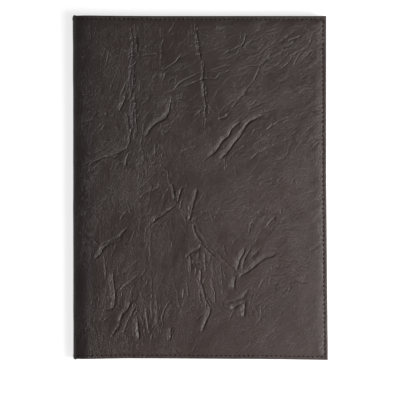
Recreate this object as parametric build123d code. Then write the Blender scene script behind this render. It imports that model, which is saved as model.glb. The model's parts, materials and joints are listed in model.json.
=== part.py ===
"""A folding leather cover for unbound sheets, closed, lying on its back.

X runs from the soft spine (-X) to the fore-edge (+X), Y from the tail (-Y) to the head (+Y), and Z up
from the surface that the closed cover lies on. The origin is under the middle of the closed cover.
Every layer is an offset of the closed outside form, and is then cut into back, spine and front
stretches along two hinge lines, about which the cover opens.
"""
from build123d import *
import math
import os

# Overall size, in millimetres
COVER_WIDTH = 240.0
COVER_HEIGHT = 324.0
SPINE_REACH = 14.5
EAR = 0.8

# Layers of each cover, from outside to inside
LEATHER = 1.0
WADDING = 0.6
BOARD = 1.5
TURN_IN = 0.5
LINING = 0.6
TAB = 0.8
THREAD_PROUD = 0.3
CLOSED_CLEARANCE = 0.4

# Edges: distances in from the head, the fore-edge and the tail
SEAM_INSET = 3.3
SEAM_TO_ROLL = 0.9
FACE_INSET = 9.0
HEM_WIDTH = 12.0
LINING_INSET = 1.5

# Stitches
STITCH_PITCH = 4.3
STITCH_GAP = 1.4
THREAD_WIDTH = 0.6

# Corner tabs
TAB_LEG = 52.0
TAB_FOOT = 3.0
TAB_SPINE_OFFSET = 1.0
TAB_HEM_INSET = 2.2

# Hinge lines, and how the spine lies when the cover is open flat: its outermost line stays this
# high above the surface, and the arch that it makes draws each cover in this far
HINGE_GAP = 0.3
OPEN_RISE = 1.6
OPEN_DRAW_IN = 0.35

# Room between pieces that lie edge to edge
BOARD_CLEARANCE = 0.3
CLOTH_CLEARANCE = 0.1

# Sizes that follow from those above
CORE = LEATHER + WADDING + BOARD
BAND_DROP = CORE - LEATHER
MARGIN_STACK = CORE + TURN_IN + LINING
CENTRE_STACK = CORE + LINING
THICKNESS = 2 * (MARGIN_STACK + TAB + THREAD_PROUD) + CLOSED_CLEARANCE
MIDDLE = THICKNESS / 2
FORE_EDGE = COVER_WIDTH / 2
HEAD = COVER_HEIGHT / 2
SPINE_EDGE = -COVER_WIDTH / 2
BOARD_START = SPINE_EDGE + SPINE_REACH
ROLL_RUN = FACE_INSET - SEAM_INSET - SEAM_TO_ROLL
ROLL_RADIUS = (ROLL_RUN**2 + BAND_DROP**2) / (2 * BAND_DROP)
BOARD_UNDER_ROLL = math.sqrt((ROLL_RADIUS - LEATHER) ** 2 - (ROLL_RADIUS - LEATHER - WADDING) ** 2)
BOARD_INSET = FACE_INSET - BOARD_UNDER_ROLL + BOARD_CLEARANCE
FAR = COVER_WIDTH + COVER_HEIGHT


def quarter_arc_length(a, b):
    """A quarter of an ellipse's perimeter, by Ramanujan's first formula."""
    whole = math.pi * (3 * (a + b) - math.sqrt((3 * a + b) * (a + 3 * b)))
    return whole / 4


# The hinge lines keep the leather's length: a quarter turn about the lower one lays the spine's
# outermost line down, at its own distance along the leather from the edge of the board.
MID_LEATHER = LEATHER / 2
SPINE_ARC = quarter_arc_length(SPINE_REACH - MID_LEATHER, MIDDLE - MID_LEATHER)
OPEN_X = BOARD_START - SPINE_ARC + OPEN_DRAW_IN
OPEN_Z = MID_LEATHER + OPEN_RISE
APEX_X = SPINE_EDGE + MID_LEATHER
HINGE_X = (OPEN_X - OPEN_Z + APEX_X + MIDDLE) / 2
HINGE_Z = OPEN_X + MIDDLE - HINGE_X

# Each hinge line's cut goes through the layers square to the spine's curve
HINGE_SHARE = (BOARD_START - HINGE_X) / SPINE_REACH
HINGE_CUT = math.atan2(math.sqrt(1 - HINGE_SHARE**2) / MIDDLE, HINGE_SHARE / SPINE_REACH)
WEDGE_TIP_X = HINGE_X + (MIDDLE - HINGE_Z) / math.tan(HINGE_CUT)


def block(x0, x1, y0, y1, z0, z1):
    """A box between two corners."""
    centre = ((x0 + x1) / 2, (y0 + y1) / 2, (z0 + z1) / 2)
    return Pos(*centre) * Box(x1 - x0, y1 - y0, z1 - z0)


def upper_roll(depth, start, edge):
    """The upper outline from the flat face out to an edge: an arc, then the sewn band."""
    top = THICKNESS - depth
    band = THICKNESS - BAND_DROP - depth
    radius = ROLL_RADIUS - depth
    angle = math.degrees(math.asin((radius - BAND_DROP) / radius))
    arc = CenterArc((start, THICKNESS - ROLL_RADIUS), radius, angle, 90 - angle)
    foot = start + radius * math.cos(math.radians(angle))
    return top, arc, [Line((foot, band), (edge, band)), Line((edge, band), (edge, MIDDLE))]


def across_section(depth):
    """The closed cover cut across its width (X, Z), every layer above this depth taken off."""
    start = FORE_EDGE - FACE_INSET
    top, arc, band = upper_roll(depth, start, FORE_EDGE)
    upper = [Line((BOARD_START, top), (start, top)), arc, *band]
    lower = [line.mirror(Plane.XZ.offset(-MIDDLE)) for line in upper]
    centre = (BOARD_START, MIDDLE)
    spine = EllipticalCenterArc(centre, SPINE_REACH - depth, MIDDLE - depth, 90, arc_size=180)
    return Plane.XZ * make_face([*upper, *lower, spine])


def along_section(depth, reach):
    """The closed cover cut along its height (Y, Z), every layer above this depth taken off."""
    start = HEAD - FACE_INSET
    top, arc, band = upper_roll(depth, start, reach)
    right = [Line((0, top), (start, top)), arc, *band]
    upper = [*right, *[line.mirror(Plane.YZ) for line in right]]
    lower = [line.mirror(Plane.XZ.offset(-MIDDLE)) for line in upper]
    return Plane.YZ * make_face([*upper, *lower])


def envelope(depth, reach=HEAD):
    """The closed cover's outside form, offset inwards by a depth."""
    across = extrude(across_section(depth), amount=reach, both=True)
    along = extrude(along_section(depth, reach), amount=FAR, both=True)
    return across & along


def free_space(clear, reach=HEAD):
    """What lies inside the leather and the boards, less a further thickness."""
    inside = block(-FAR, FAR, -FAR, FAR, CORE + clear, THICKNESS - CORE - clear)
    spine_side = block(-FAR, BOARD_START - clear, -FAR, FAR, 0, THICKNESS)
    return envelope(LEATHER + clear, reach) & (inside + spine_side)


def within(inset):
    """Everything at least this far in from the head, the fore-edge and the tail."""
    return block(-FAR, FORE_EDGE - inset, inset - HEAD, HEAD - inset, 0, THICKNESS)


def hinge_wedge(growth):
    """The spine's stretch: a wedge that opens towards the spine, grown on both faces."""
    tip = WEDGE_TIP_X + growth / math.sin(HINGE_CUT)
    rise = FAR * math.tan(HINGE_CUT)
    above = (tip - FAR, MIDDLE + rise)
    below = (tip - FAR, MIDDLE - rise)
    outline = Polyline((tip, MIDDLE), above, below, close=True)
    return extrude(Plane.XZ * make_face(outline), amount=FAR, both=True)


BACK_HALF = block(-FAR, FAR, -FAR, FAR, -THICKNESS, MIDDLE) - hinge_wedge(HINGE_GAP / 2)
FRONT_HALF = block(-FAR, FAR, -FAR, FAR, MIDDLE, 2 * THICKNESS) - hinge_wedge(HINGE_GAP / 2)
SPINE_STRETCH = hinge_wedge(-HINGE_GAP / 2)


def closed_leather(reach):
    """The whole hide: face, sewn band and turned-in edge."""
    face = envelope(0, reach) - envelope(LEATHER, reach)
    turned = free_space(0, reach) - free_space(TURN_IN, reach) - within(HEM_WIDTH)
    return face + turned


def closed_hinge_cloth():
    """The strip between the boards, stuck to the leather and up the boards' spine edges."""
    outside = envelope(LEATHER) & block(-FAR, BOARD_START, -FAR, FAR, 0, THICKNESS)
    inner_edge = BOARD_START - TURN_IN
    inside = envelope(LEATHER + TURN_IN) & block(-FAR, inner_edge, -FAR, FAR, 0, THICKNESS)
    opening = block(inner_edge, FAR, -FAR, FAR, CORE, THICKNESS - CORE)
    return (outside - inside - opening) & within(HEM_WIDTH + CLOTH_CLEARANCE)


def closed_lining():
    """The lining: a raised margin over the turned-in edge, a flat middle and a spine stretch."""
    step = HEM_WIDTH + LINING
    outer_wall = BOARD_START - TURN_IN
    inner_wall = outer_wall - LINING
    margin = free_space(TURN_IN) - free_space(TURN_IN + LINING)
    margin = (margin & within(LINING_INSET)) - within(step)
    middle = block(outer_wall, FAR, -FAR, FAR, CORE, THICKNESS - CORE)
    middle += block(-FAR, outer_wall, -FAR, FAR, 0, THICKNESS)
    middle &= envelope(LEATHER + TURN_IN)
    hollow = block(inner_wall, FAR, -FAR, FAR, CENTRE_STACK, THICKNESS - CENTRE_STACK)
    hollow += block(-FAR, inner_wall, -FAR, FAR, 0, THICKNESS) & envelope(LEATHER + TURN_IN + LINING)
    return margin + ((middle - hollow) & within(HEM_WIDTH))


def both_sides(low, high, x0, x1, half_height):
    """One plate in each cover, between two depths from its outside."""
    back = block(x0, x1, -half_height, half_height, low, high)
    front = block(x0, x1, -half_height, half_height, THICKNESS - high, THICKNESS - low)
    return {"back": back, "front": front}


def facing(solid, side):
    """A piece drawn on the back cover, as it lies on the given cover."""
    if side == "back":
        return solid
    return solid.mirror(Plane.XY.offset(MIDDLE))


def corners():
    """The four corners of a sheet: name, right-angle point and the directions of the two legs."""
    edge = HEAD - LINING_INSET
    for end, sign in (("head", 1), ("tail", -1)):
        yield f"{end}_fore", (FORE_EDGE - LINING_INSET, sign * edge), (-1, -sign)
        yield f"{end}_spine", (BOARD_START + TAB_SPINE_OFFSET, sign * edge), (1, -sign)


def tab_outline(corner, legs):
    """The triangle of a corner tab."""
    along = (corner[0] + legs[0] * TAB_LEG, corner[1])
    up = (corner[0], corner[1] + legs[1] * TAB_LEG)
    return make_face(Polyline(corner, along, up, close=True))


def corner_tab(name, corner, legs):
    """One tab on the back cover. At the spine side a foot fills the step down to the lining."""
    outline = tab_outline(corner, legs)
    tab = Pos(0, 0, MARGIN_STACK) * extrude(outline, amount=TAB)
    if name.endswith("spine"):
        foot = Pos(0, 0, CENTRE_STACK) * extrude(outline, amount=MARGIN_STACK - CENTRE_STACK)
        foot_edge = corner[0] + TAB_FOOT
        inner = HEAD - HEM_WIDTH - LINING
        tab += foot & block(corner[0], foot_edge, -inner, inner, 0, THICKNESS)
    return tab


def stitch_places():
    """Centre, direction and length of each stitch of one cover's head, fore-edge and tail seam."""
    seam_y = HEAD - SEAM_INSET
    seam_x = FORE_EDGE - SEAM_INSET
    shoulder = (MIDDLE - BAND_DROP) / MIDDLE
    start_x = BOARD_START - SPINE_REACH * math.sqrt(1 - shoulder**2) + THREAD_WIDTH
    runs = [
        ((start_x, seam_y), (seam_x, seam_y)),
        ((seam_x, seam_y), (seam_x, -seam_y)),
        ((seam_x, -seam_y), (start_x, -seam_y)),
    ]
    for begin, end in runs:
        yield from stitches_between(begin, end)


def stitches_between(begin, end):
    """Evenly spaced stitches from one needle hole to another."""
    run = math.dist(begin, end)
    count = round(run / STITCH_PITCH)
    angle = math.degrees(math.atan2(end[1] - begin[1], end[0] - begin[0]))
    for number in range(count):
        share = (number + 0.5) / count
        centre = [a + (b - a) * share for a, b in zip(begin, end)]
        yield centre, angle, run / count - STITCH_GAP


def stitch(centre, angle, length, bottom):
    """One stitch that lies on a flat surface."""
    bar = Box(length, THREAD_WIDTH, THREAD_PROUD, align=(Align.CENTER, Align.CENTER, Align.MIN))
    return Pos(centre[0], centre[1], bottom) * Rot(0, 0, angle) * bar


def lies_on_tab(centre, length):
    """Whether any of a perimeter stitch lies over a corner tab."""
    for _, corner, legs in corners():
        along = (centre[0] - corner[0]) * legs[0]
        up = (centre[1] - corner[1]) * legs[1]
        if along > -length and up > -length and along + up < TAB_LEG + length / 2:
            return True
    return False


def outside_stitches():
    """The back cover's outside row, on the sewn band."""
    return [stitch(*place, BAND_DROP - THREAD_PROUD) for place in stitch_places()]


def inside_stitches():
    """The back cover's inside row, on the lining's margin and over the corner tabs."""
    row = []
    for centre, angle, length in stitch_places():
        level = MARGIN_STACK + TAB if lies_on_tab(centre, length) else MARGIN_STACK
        row.append(stitch(centre, angle, length, level))
    return row


def tab_hem_stitches():
    """The row along the free edge of each of the back cover's corner tabs."""
    row = []
    end = SEAM_INSET - LINING_INSET + TAB_HEM_INSET
    for _, corner, legs in corners():
        reach = TAB_LEG - TAB_HEM_INSET * math.sqrt(2)
        begin = (corner[0] + legs[0] * (reach - end), corner[1] + legs[1] * end)
        finish = (corner[0] + legs[0] * end, corner[1] + legs[1] * (reach - end))
        for place in stitches_between(begin, finish):
            row.append(stitch(*place, MARGIN_STACK + TAB))
    return row


def spine_stitches():
    """The stitch that goes round the spine's outermost line, at the head and at the tail."""
    skin = envelope(0) - envelope(THREAD_PROUD)
    half = (STITCH_PITCH - STITCH_GAP) / 2
    seam_y = HEAD - SEAM_INSET
    row = []
    for y in (seam_y, -seam_y):
        low, high = y - THREAD_WIDTH / 2, y + THREAD_WIDTH / 2
        row.append(skin & block(-FAR, BOARD_START, low, high, MIDDLE - half, MIDDLE + half))
    return row


def write(name, *shapes):
    """Writes one node from the solids of its shapes."""
    solids = [solid for shape in shapes for solid in shape.solids()]
    node = solids[0] if len(solids) == 1 else Compound(children=solids)
    node.label = name
    export_step(node, f"parts/{name}.step")
    print(f"{name}: {len(solids)} solids, {sum(solid.volume for solid in solids):.1f} cubic mm")


def main():
    os.makedirs("parts", exist_ok=True)
    print(f"thickness {THICKNESS:.3f}, board start {BOARD_START:.3f}, roll radius {ROLL_RADIUS:.3f}")
    print(f"hinge lines at x {HINGE_X:.4f}, z {HINGE_Z:.4f} and {THICKNESS - HINGE_Z:.4f}")

    leather = closed_leather(HEAD)
    cloth = closed_hinge_cloth()
    lining = closed_lining()
    face_end = FORE_EDGE - FACE_INSET
    wadding = both_sides(LEATHER, LEATHER + WADDING, BOARD_START, face_end, HEAD - FACE_INSET)
    board_end = FORE_EDGE - BOARD_INSET
    board = both_sides(LEATHER + WADDING, CORE, BOARD_START, board_end, HEAD - BOARD_INSET)

    for side, half in (("back", BACK_HALF), ("front", FRONT_HALF)):
        write(f"{side}_outer_leather", leather & half)
        write(f"{side}_wadding", wadding[side])
        write(f"{side}_board", board[side])
        write(f"{side}_hinge_cloth", cloth & half)
        write(f"{side}_lining", lining & half)
        write(f"{side}_seam_thread_outside", *[facing(bar, side) for bar in outside_stitches()])
        write(f"{side}_seam_thread_inside", *[facing(bar, side) for bar in inside_stitches()])
        write(f"{side}_tab_hem_thread", *[facing(bar, side) for bar in tab_hem_stitches()])
        for name, corner, legs in corners():
            write(f"{side}_tab_{name}", facing(corner_tab(name, corner, legs), side))

    spine_thread = spine_stitches()
    spine_leather = closed_leather(HEAD + EAR) & SPINE_STRETCH
    for thread in spine_thread:
        spine_leather -= thread
    write("spine_outer_leather", spine_leather)
    write("spine_hinge_cloth", cloth & SPINE_STRETCH)
    write("spine_lining", lining & SPINE_STRETCH)
    write("spine_seam_thread", *spine_thread)


main()
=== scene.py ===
"""The looks of the folding leather cover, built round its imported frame.

Lengths are in millimetres until a mesh is made. A depth or a level is measured from a cover's outside
face inwards, so the same numbers serve the back cover, which lies down, and the front cover on it.
"""

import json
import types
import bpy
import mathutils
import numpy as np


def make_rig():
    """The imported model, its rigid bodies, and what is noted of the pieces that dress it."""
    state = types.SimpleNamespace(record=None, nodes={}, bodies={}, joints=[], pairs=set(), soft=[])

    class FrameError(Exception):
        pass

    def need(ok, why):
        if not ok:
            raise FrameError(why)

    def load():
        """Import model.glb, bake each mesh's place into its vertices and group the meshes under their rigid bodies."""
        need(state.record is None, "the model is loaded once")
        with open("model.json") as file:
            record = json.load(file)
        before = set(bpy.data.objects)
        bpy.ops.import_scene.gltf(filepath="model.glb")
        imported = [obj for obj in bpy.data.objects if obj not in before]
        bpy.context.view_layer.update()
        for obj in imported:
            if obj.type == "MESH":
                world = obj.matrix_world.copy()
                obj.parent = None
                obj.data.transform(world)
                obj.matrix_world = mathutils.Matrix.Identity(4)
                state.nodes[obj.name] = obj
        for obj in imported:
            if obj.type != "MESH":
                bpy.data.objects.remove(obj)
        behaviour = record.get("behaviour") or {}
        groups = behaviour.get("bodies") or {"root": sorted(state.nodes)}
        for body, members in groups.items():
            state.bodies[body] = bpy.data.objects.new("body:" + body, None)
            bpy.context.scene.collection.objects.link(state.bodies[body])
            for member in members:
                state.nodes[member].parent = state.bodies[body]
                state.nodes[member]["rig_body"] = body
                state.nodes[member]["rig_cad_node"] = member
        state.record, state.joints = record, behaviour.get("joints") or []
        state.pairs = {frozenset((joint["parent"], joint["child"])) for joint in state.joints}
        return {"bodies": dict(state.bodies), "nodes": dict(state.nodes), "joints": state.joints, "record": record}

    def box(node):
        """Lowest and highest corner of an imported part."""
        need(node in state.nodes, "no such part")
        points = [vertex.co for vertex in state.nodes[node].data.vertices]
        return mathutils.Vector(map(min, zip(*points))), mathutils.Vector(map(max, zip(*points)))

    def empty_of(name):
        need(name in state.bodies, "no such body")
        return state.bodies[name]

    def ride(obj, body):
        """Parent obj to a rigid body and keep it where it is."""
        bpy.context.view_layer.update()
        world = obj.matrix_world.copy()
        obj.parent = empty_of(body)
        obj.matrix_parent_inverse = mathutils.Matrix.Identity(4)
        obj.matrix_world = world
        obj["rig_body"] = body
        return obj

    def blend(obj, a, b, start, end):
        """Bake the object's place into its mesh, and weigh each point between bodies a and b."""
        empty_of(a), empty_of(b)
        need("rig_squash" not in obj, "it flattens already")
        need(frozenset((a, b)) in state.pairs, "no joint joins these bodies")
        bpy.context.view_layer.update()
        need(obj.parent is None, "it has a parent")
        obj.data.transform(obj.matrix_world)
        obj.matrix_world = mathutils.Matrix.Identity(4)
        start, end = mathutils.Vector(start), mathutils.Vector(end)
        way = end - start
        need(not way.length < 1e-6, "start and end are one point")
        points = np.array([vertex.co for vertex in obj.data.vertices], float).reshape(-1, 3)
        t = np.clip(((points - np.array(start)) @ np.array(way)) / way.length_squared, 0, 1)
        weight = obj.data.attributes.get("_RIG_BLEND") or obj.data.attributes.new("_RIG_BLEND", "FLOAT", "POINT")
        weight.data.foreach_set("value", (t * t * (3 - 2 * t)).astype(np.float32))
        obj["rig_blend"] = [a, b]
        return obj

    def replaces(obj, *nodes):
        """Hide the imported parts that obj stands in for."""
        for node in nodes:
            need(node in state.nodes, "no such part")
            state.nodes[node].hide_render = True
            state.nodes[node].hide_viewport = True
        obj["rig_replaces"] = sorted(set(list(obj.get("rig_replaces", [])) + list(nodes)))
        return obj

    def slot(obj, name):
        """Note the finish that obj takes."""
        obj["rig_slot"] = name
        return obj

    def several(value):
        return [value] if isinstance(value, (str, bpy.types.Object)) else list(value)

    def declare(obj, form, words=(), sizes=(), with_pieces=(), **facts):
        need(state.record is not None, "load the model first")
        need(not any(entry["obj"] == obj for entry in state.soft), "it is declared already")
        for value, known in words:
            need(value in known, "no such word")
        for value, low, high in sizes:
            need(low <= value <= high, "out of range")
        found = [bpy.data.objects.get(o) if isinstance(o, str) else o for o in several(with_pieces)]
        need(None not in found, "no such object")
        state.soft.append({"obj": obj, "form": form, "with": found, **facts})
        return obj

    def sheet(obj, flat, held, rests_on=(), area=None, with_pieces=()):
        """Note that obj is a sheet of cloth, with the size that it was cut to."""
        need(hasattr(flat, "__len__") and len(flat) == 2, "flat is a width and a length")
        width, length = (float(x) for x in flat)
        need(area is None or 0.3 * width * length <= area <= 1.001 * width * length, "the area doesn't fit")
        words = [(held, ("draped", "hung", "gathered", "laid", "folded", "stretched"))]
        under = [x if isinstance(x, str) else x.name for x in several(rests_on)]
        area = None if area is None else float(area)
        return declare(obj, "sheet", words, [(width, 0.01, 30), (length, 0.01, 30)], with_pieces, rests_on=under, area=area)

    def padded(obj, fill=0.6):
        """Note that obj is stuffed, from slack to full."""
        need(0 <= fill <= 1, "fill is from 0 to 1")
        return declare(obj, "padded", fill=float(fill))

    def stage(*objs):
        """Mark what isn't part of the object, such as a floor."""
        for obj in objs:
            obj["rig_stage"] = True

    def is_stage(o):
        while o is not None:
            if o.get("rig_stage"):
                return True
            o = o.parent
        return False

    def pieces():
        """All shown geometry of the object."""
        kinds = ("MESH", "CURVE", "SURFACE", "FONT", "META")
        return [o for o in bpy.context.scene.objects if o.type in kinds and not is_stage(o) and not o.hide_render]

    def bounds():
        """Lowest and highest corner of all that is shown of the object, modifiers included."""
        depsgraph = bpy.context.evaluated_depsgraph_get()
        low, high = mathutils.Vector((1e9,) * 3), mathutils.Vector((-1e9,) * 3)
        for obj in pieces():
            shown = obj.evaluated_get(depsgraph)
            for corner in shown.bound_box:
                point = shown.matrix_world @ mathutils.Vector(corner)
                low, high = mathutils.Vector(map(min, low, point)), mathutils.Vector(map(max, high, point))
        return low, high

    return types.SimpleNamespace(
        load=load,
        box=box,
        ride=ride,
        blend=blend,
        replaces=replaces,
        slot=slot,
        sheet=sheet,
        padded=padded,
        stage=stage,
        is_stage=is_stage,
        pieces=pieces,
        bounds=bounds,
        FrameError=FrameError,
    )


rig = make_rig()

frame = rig.load()

import json
import math

import bpy
import numpy as np

MM = 0.001
CAD_BOX = [list(corner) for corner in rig.bounds()]


def node_box(name):
    """The lowest and the highest corner of a frame node."""
    return [np.array(corner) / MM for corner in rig.box(name)]


# Places that the frame gives
FORE_EDGE, HEAD, THICKNESS = node_box("front_outer_leather")[1]
SPINE_EDGE = node_box("spine_outer_leather")[0][0]
EAR = node_box("spine_outer_leather")[1][1] - HEAD
BOARD_START, _, BOARD_LEVEL = node_box("back_board")[0]
BOARD_END, _, CORE = node_box("back_board")[1]
LEATHER = node_box("back_wadding")[0][2]
WADDING_END = node_box("back_wadding")[1][0]
LINING_END, LINING_HEAD, _ = node_box("back_lining")[1]
CLOTH_HEAD = node_box("back_hinge_cloth")[1][1]
SEAM_START = node_box("back_seam_thread_outside")[0][0]
SEAM_END = node_box("back_seam_thread_outside")[1][0]
TAB_START, _, MARGIN_LEVEL = node_box("back_tab_head_fore")[0]
TAB_END, _, TAB_LEVEL = node_box("back_tab_head_fore")[1]
SPINE_TAB_START, _, CENTRE_LEVEL = node_box("back_tab_head_spine")[0]

# Sizes that don't show in the frame's boxes
THREAD_WIDTH = 0.6
STITCH_PITCH = 4.3
STITCH_GAP = 1.4
HEM_WIDTH = 12.0
LINING = 0.6
TAB_FOOT = 3.0
TAB_HEM_INSET = 2.2

MIDDLE = THICKNESS / 2
SPINE_REACH = BOARD_START - SPINE_EDGE
TAB_LEG = TAB_END - TAB_START
TURN_LEVEL = MARGIN_LEVEL - LINING
TURN_IN = TURN_LEVEL - CORE
BOARD_INSET = FORE_EDGE - BOARD_END
WADDING_INSET = FORE_EDGE - WADDING_END
LINING_INSET = FORE_EDGE - LINING_END
SEAM_INSET = FORE_EDGE - SEAM_END + THREAD_WIDTH / 2

# Depths of the spine's layers below its outside
SPINE_MARGIN = LEATHER + TURN_IN
SPINE_LINING = SPINE_MARGIN + LINING
CLOTH = (LEATHER + 0.05, SPINE_MARGIN - 0.05)

# The hide's grid
GRID_STEP = 0.94
BACK_GRID_STEP = 1.3
SPINE_COLUMNS = 27
# Its roll towards its sewn edges: where it starts, its curve, and how far down it goes at the seam
ROLL_START = 11.0
ROLL_POWER = 2.0
BAND_FALL = 0.85
# Near the tail the fore-edge has less of it and the tail itself more: by what share, over which heights, and
# over what distance from one to the other at the corner
LOW_SLACK = 0.2
LOW_SLACK_OVER = (40, -60)
CORNER_BLEND = 12
# The spine's ends have a share of it, and the rest comes back over these places
SPINE_END_SHARE = 0.2
SPINE_END_OVER = (BOARD_START - 2, BOARD_START + 16)
# Its edge, the seam's groove and the ridge over the board's spine edge
LIP_RISE = 0.12
EDGE_ROUND = 0.9
SEAM_PULL = 0.05
SEAM_PULL_WIDTH = 0.7
BOARD_EDGE_RISE = 0.04
BOARD_EDGE_WIDTH = 1.6

# Where the spine bends: the point where a stretch of it starts to follow, and the point past which
# it has gone all the way. The upper half mirrors the lower one.
BEND_START = (-116.84, 0.39)
BEND_END = (-117.44, 4.28)

# The photograph's frame: the cover's centre in pixels and the size of a pixel
PHOTO_CENTRE = (199.75, 187.4)
PIXEL = 0.9453


def smooth(low, high, value):
    """0 below low, 1 above high, and an even curve between them."""
    share = np.clip((value - low) / (high - low), 0, 1)
    return share * share * (3 - 2 * share)


def gradient_noise(x, y, size, seed):
    """Seeded noise from about -1 to 1, with features of about one size."""
    angles = np.random.default_rng(seed).uniform(0, 2 * math.pi, (256, 256))
    u, v = x / size, y / size
    i, j = np.floor(u).astype(int), np.floor(v).astype(int)
    fu, fv = u - i, v - j

    def corner(di, dj):
        angle = angles[(i + di) % 256, (j + dj) % 256]
        return np.cos(angle) * (fu - di) + np.sin(angle) * (fv - dj)

    wu = fu * fu * fu * (fu * (fu * 6 - 15) + 10)
    wv = fv * fv * fv * (fv * (fv * 6 - 15) + 10)
    low = corner(0, 0) * (1 - wu) + corner(1, 0) * wu
    high = corner(0, 1) * (1 - wu) + corner(1, 1) * wu
    return 1.5 * (low * (1 - wv) + high * wv)


# Creases of the front cover, traced on the photograph from one end to the other, in pixels

FOLDS = (
    ((152, 127), (157, 123.3), (161.5, 120.8), (165.5, 118.4), (168.3, 113.5)),
    (
        (143.5, 138.5), (147.5, 134.5), (150.5, 129.5), (153.7, 126), (157.5, 123.2), (161.5, 121),
        (165, 119), (167.6, 115.5), (169.4, 111), (170.8, 104), (172.4, 96.5),
    ),
    (
        (207.5, 158), (211, 155), (216, 150.6), (223, 141), (228.7, 136), (231, 131), (236, 125.5),
        (242, 120.5),
    ),
    (
        (218.7, 161), (227.5, 152), (231, 147.5), (236, 141), (241, 135), (247.5, 125), (255, 119),
        (267.5, 114),
    ),
    ((239, 277), (243, 274), (247, 271.5), (252, 268), (258, 262.5), (265, 258), (272, 256.5), (277, 252)),
    ((237, 270), (238, 264), (240, 259), (242, 255.5), (245, 249)),
    ((234, 289), (234, 282), (236, 276)),
    ((230, 309), (238, 305), (244, 302)),
    ((243, 317), (244, 309), (244.5, 300)),
    ((112, 310), (114.5, 304), (115.5, 299), (115, 294), (114, 287), (113.5, 280), (113, 271)),
    ((119, 323), (122, 315), (126, 311), (129, 306), (131.5, 300)),
    ((201, 332), (205, 323), (208, 315), (210.5, 308)),
    ((138.5, 340), (138, 327), (136.5, 317)),
    ((95, 259), (101, 253), (103, 249), (107, 244.5)),
)
VALLEYS = (
    ((241.5, 270), (244, 259), (250, 250)),
    ((224, 304), (231, 301), (240, 297), (245, 293), (249, 289)),
    ((149, 333), (147, 322), (146, 308)),
    ((156, 328), (157, 308)),
    ((250, 259), (257, 251)),
    ((267, 224), (276, 216)),
)
DEEP_CREASES = (
    ((130.6, 90), (130.2, 79.5), (131, 72), (131.6, 64.5), (132.5, 56), (133, 49.5), (133.7, 42), (131, 26)),
    ((130.8, 102), (132.5, 89.5), (133.7, 79.5), (134, 68), (134, 59.5), (134.4, 48)),
    ((137.5, 55), (136.9, 43), (135.6, 33)),
    ((119.3, 112), (123, 103.5), (127, 96)),
    ((206, 120), (206, 104.5), (204.7, 96), (204.4, 87), (203, 78), (202.7, 67), (201.9, 59.5)),
    ((202, 62), (199.4, 51), (198.7, 41), (196, 31), (195.5, 22)),
    (
        (88, 167), (92, 163.5), (97, 161), (102, 159), (112, 156), (120, 152.5), (126, 149.5), (129, 144),
        (130.5, 136),
    ),
    ((130.8, 138), (131, 131), (128.5, 123), (127, 113)),
    ((134, 130), (133, 118), (134.5, 106), (134, 96)),
    ((137, 137), (136.5, 120), (136, 108), (134.8, 92)),
    ((125.5, 168), (126.5, 161), (129, 153)),
    ((152.5, 224), (156, 220), (162.5, 215.6), (168.7, 211), (175, 206)),
    ((189.3, 223), (191, 214), (192, 209), (193.7, 203), (195.6, 197), (197.5, 188)),
    ((216, 259), (208, 250.5), (203, 246), (200, 240), (195, 233), (192.5, 224)),
    ((178, 203), (180.5, 192), (185, 186)),
    ((174.2, 202), (173.7, 190), (171, 183)),
    ((186, 258), (190, 254), (198, 249), (202, 244)),
    ((210.5, 310), (207, 303), (204, 297), (203, 290), (200.5, 282), (200.5, 268)),
    ((111, 338), (116, 329), (120.6, 322)),
    ((130, 318), (133.5, 311), (136.5, 303)),
    ((119, 291), (128, 285), (133, 281), (139, 275)),
    ((103, 310.5), (110, 309), (115, 305.5)),
    ((103, 252), (106, 246), (111, 242), (118, 238.5), (122.5, 233), (128, 227.5)),
    ((262, 65), (267, 59.5), (271, 55)),
    ((219, 120), (225, 118), (230, 115)),
    ((190.6, 272), (190.6, 262), (190, 255)),
    ((170, 341), (170, 334), (170.6, 327)),
)
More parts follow.
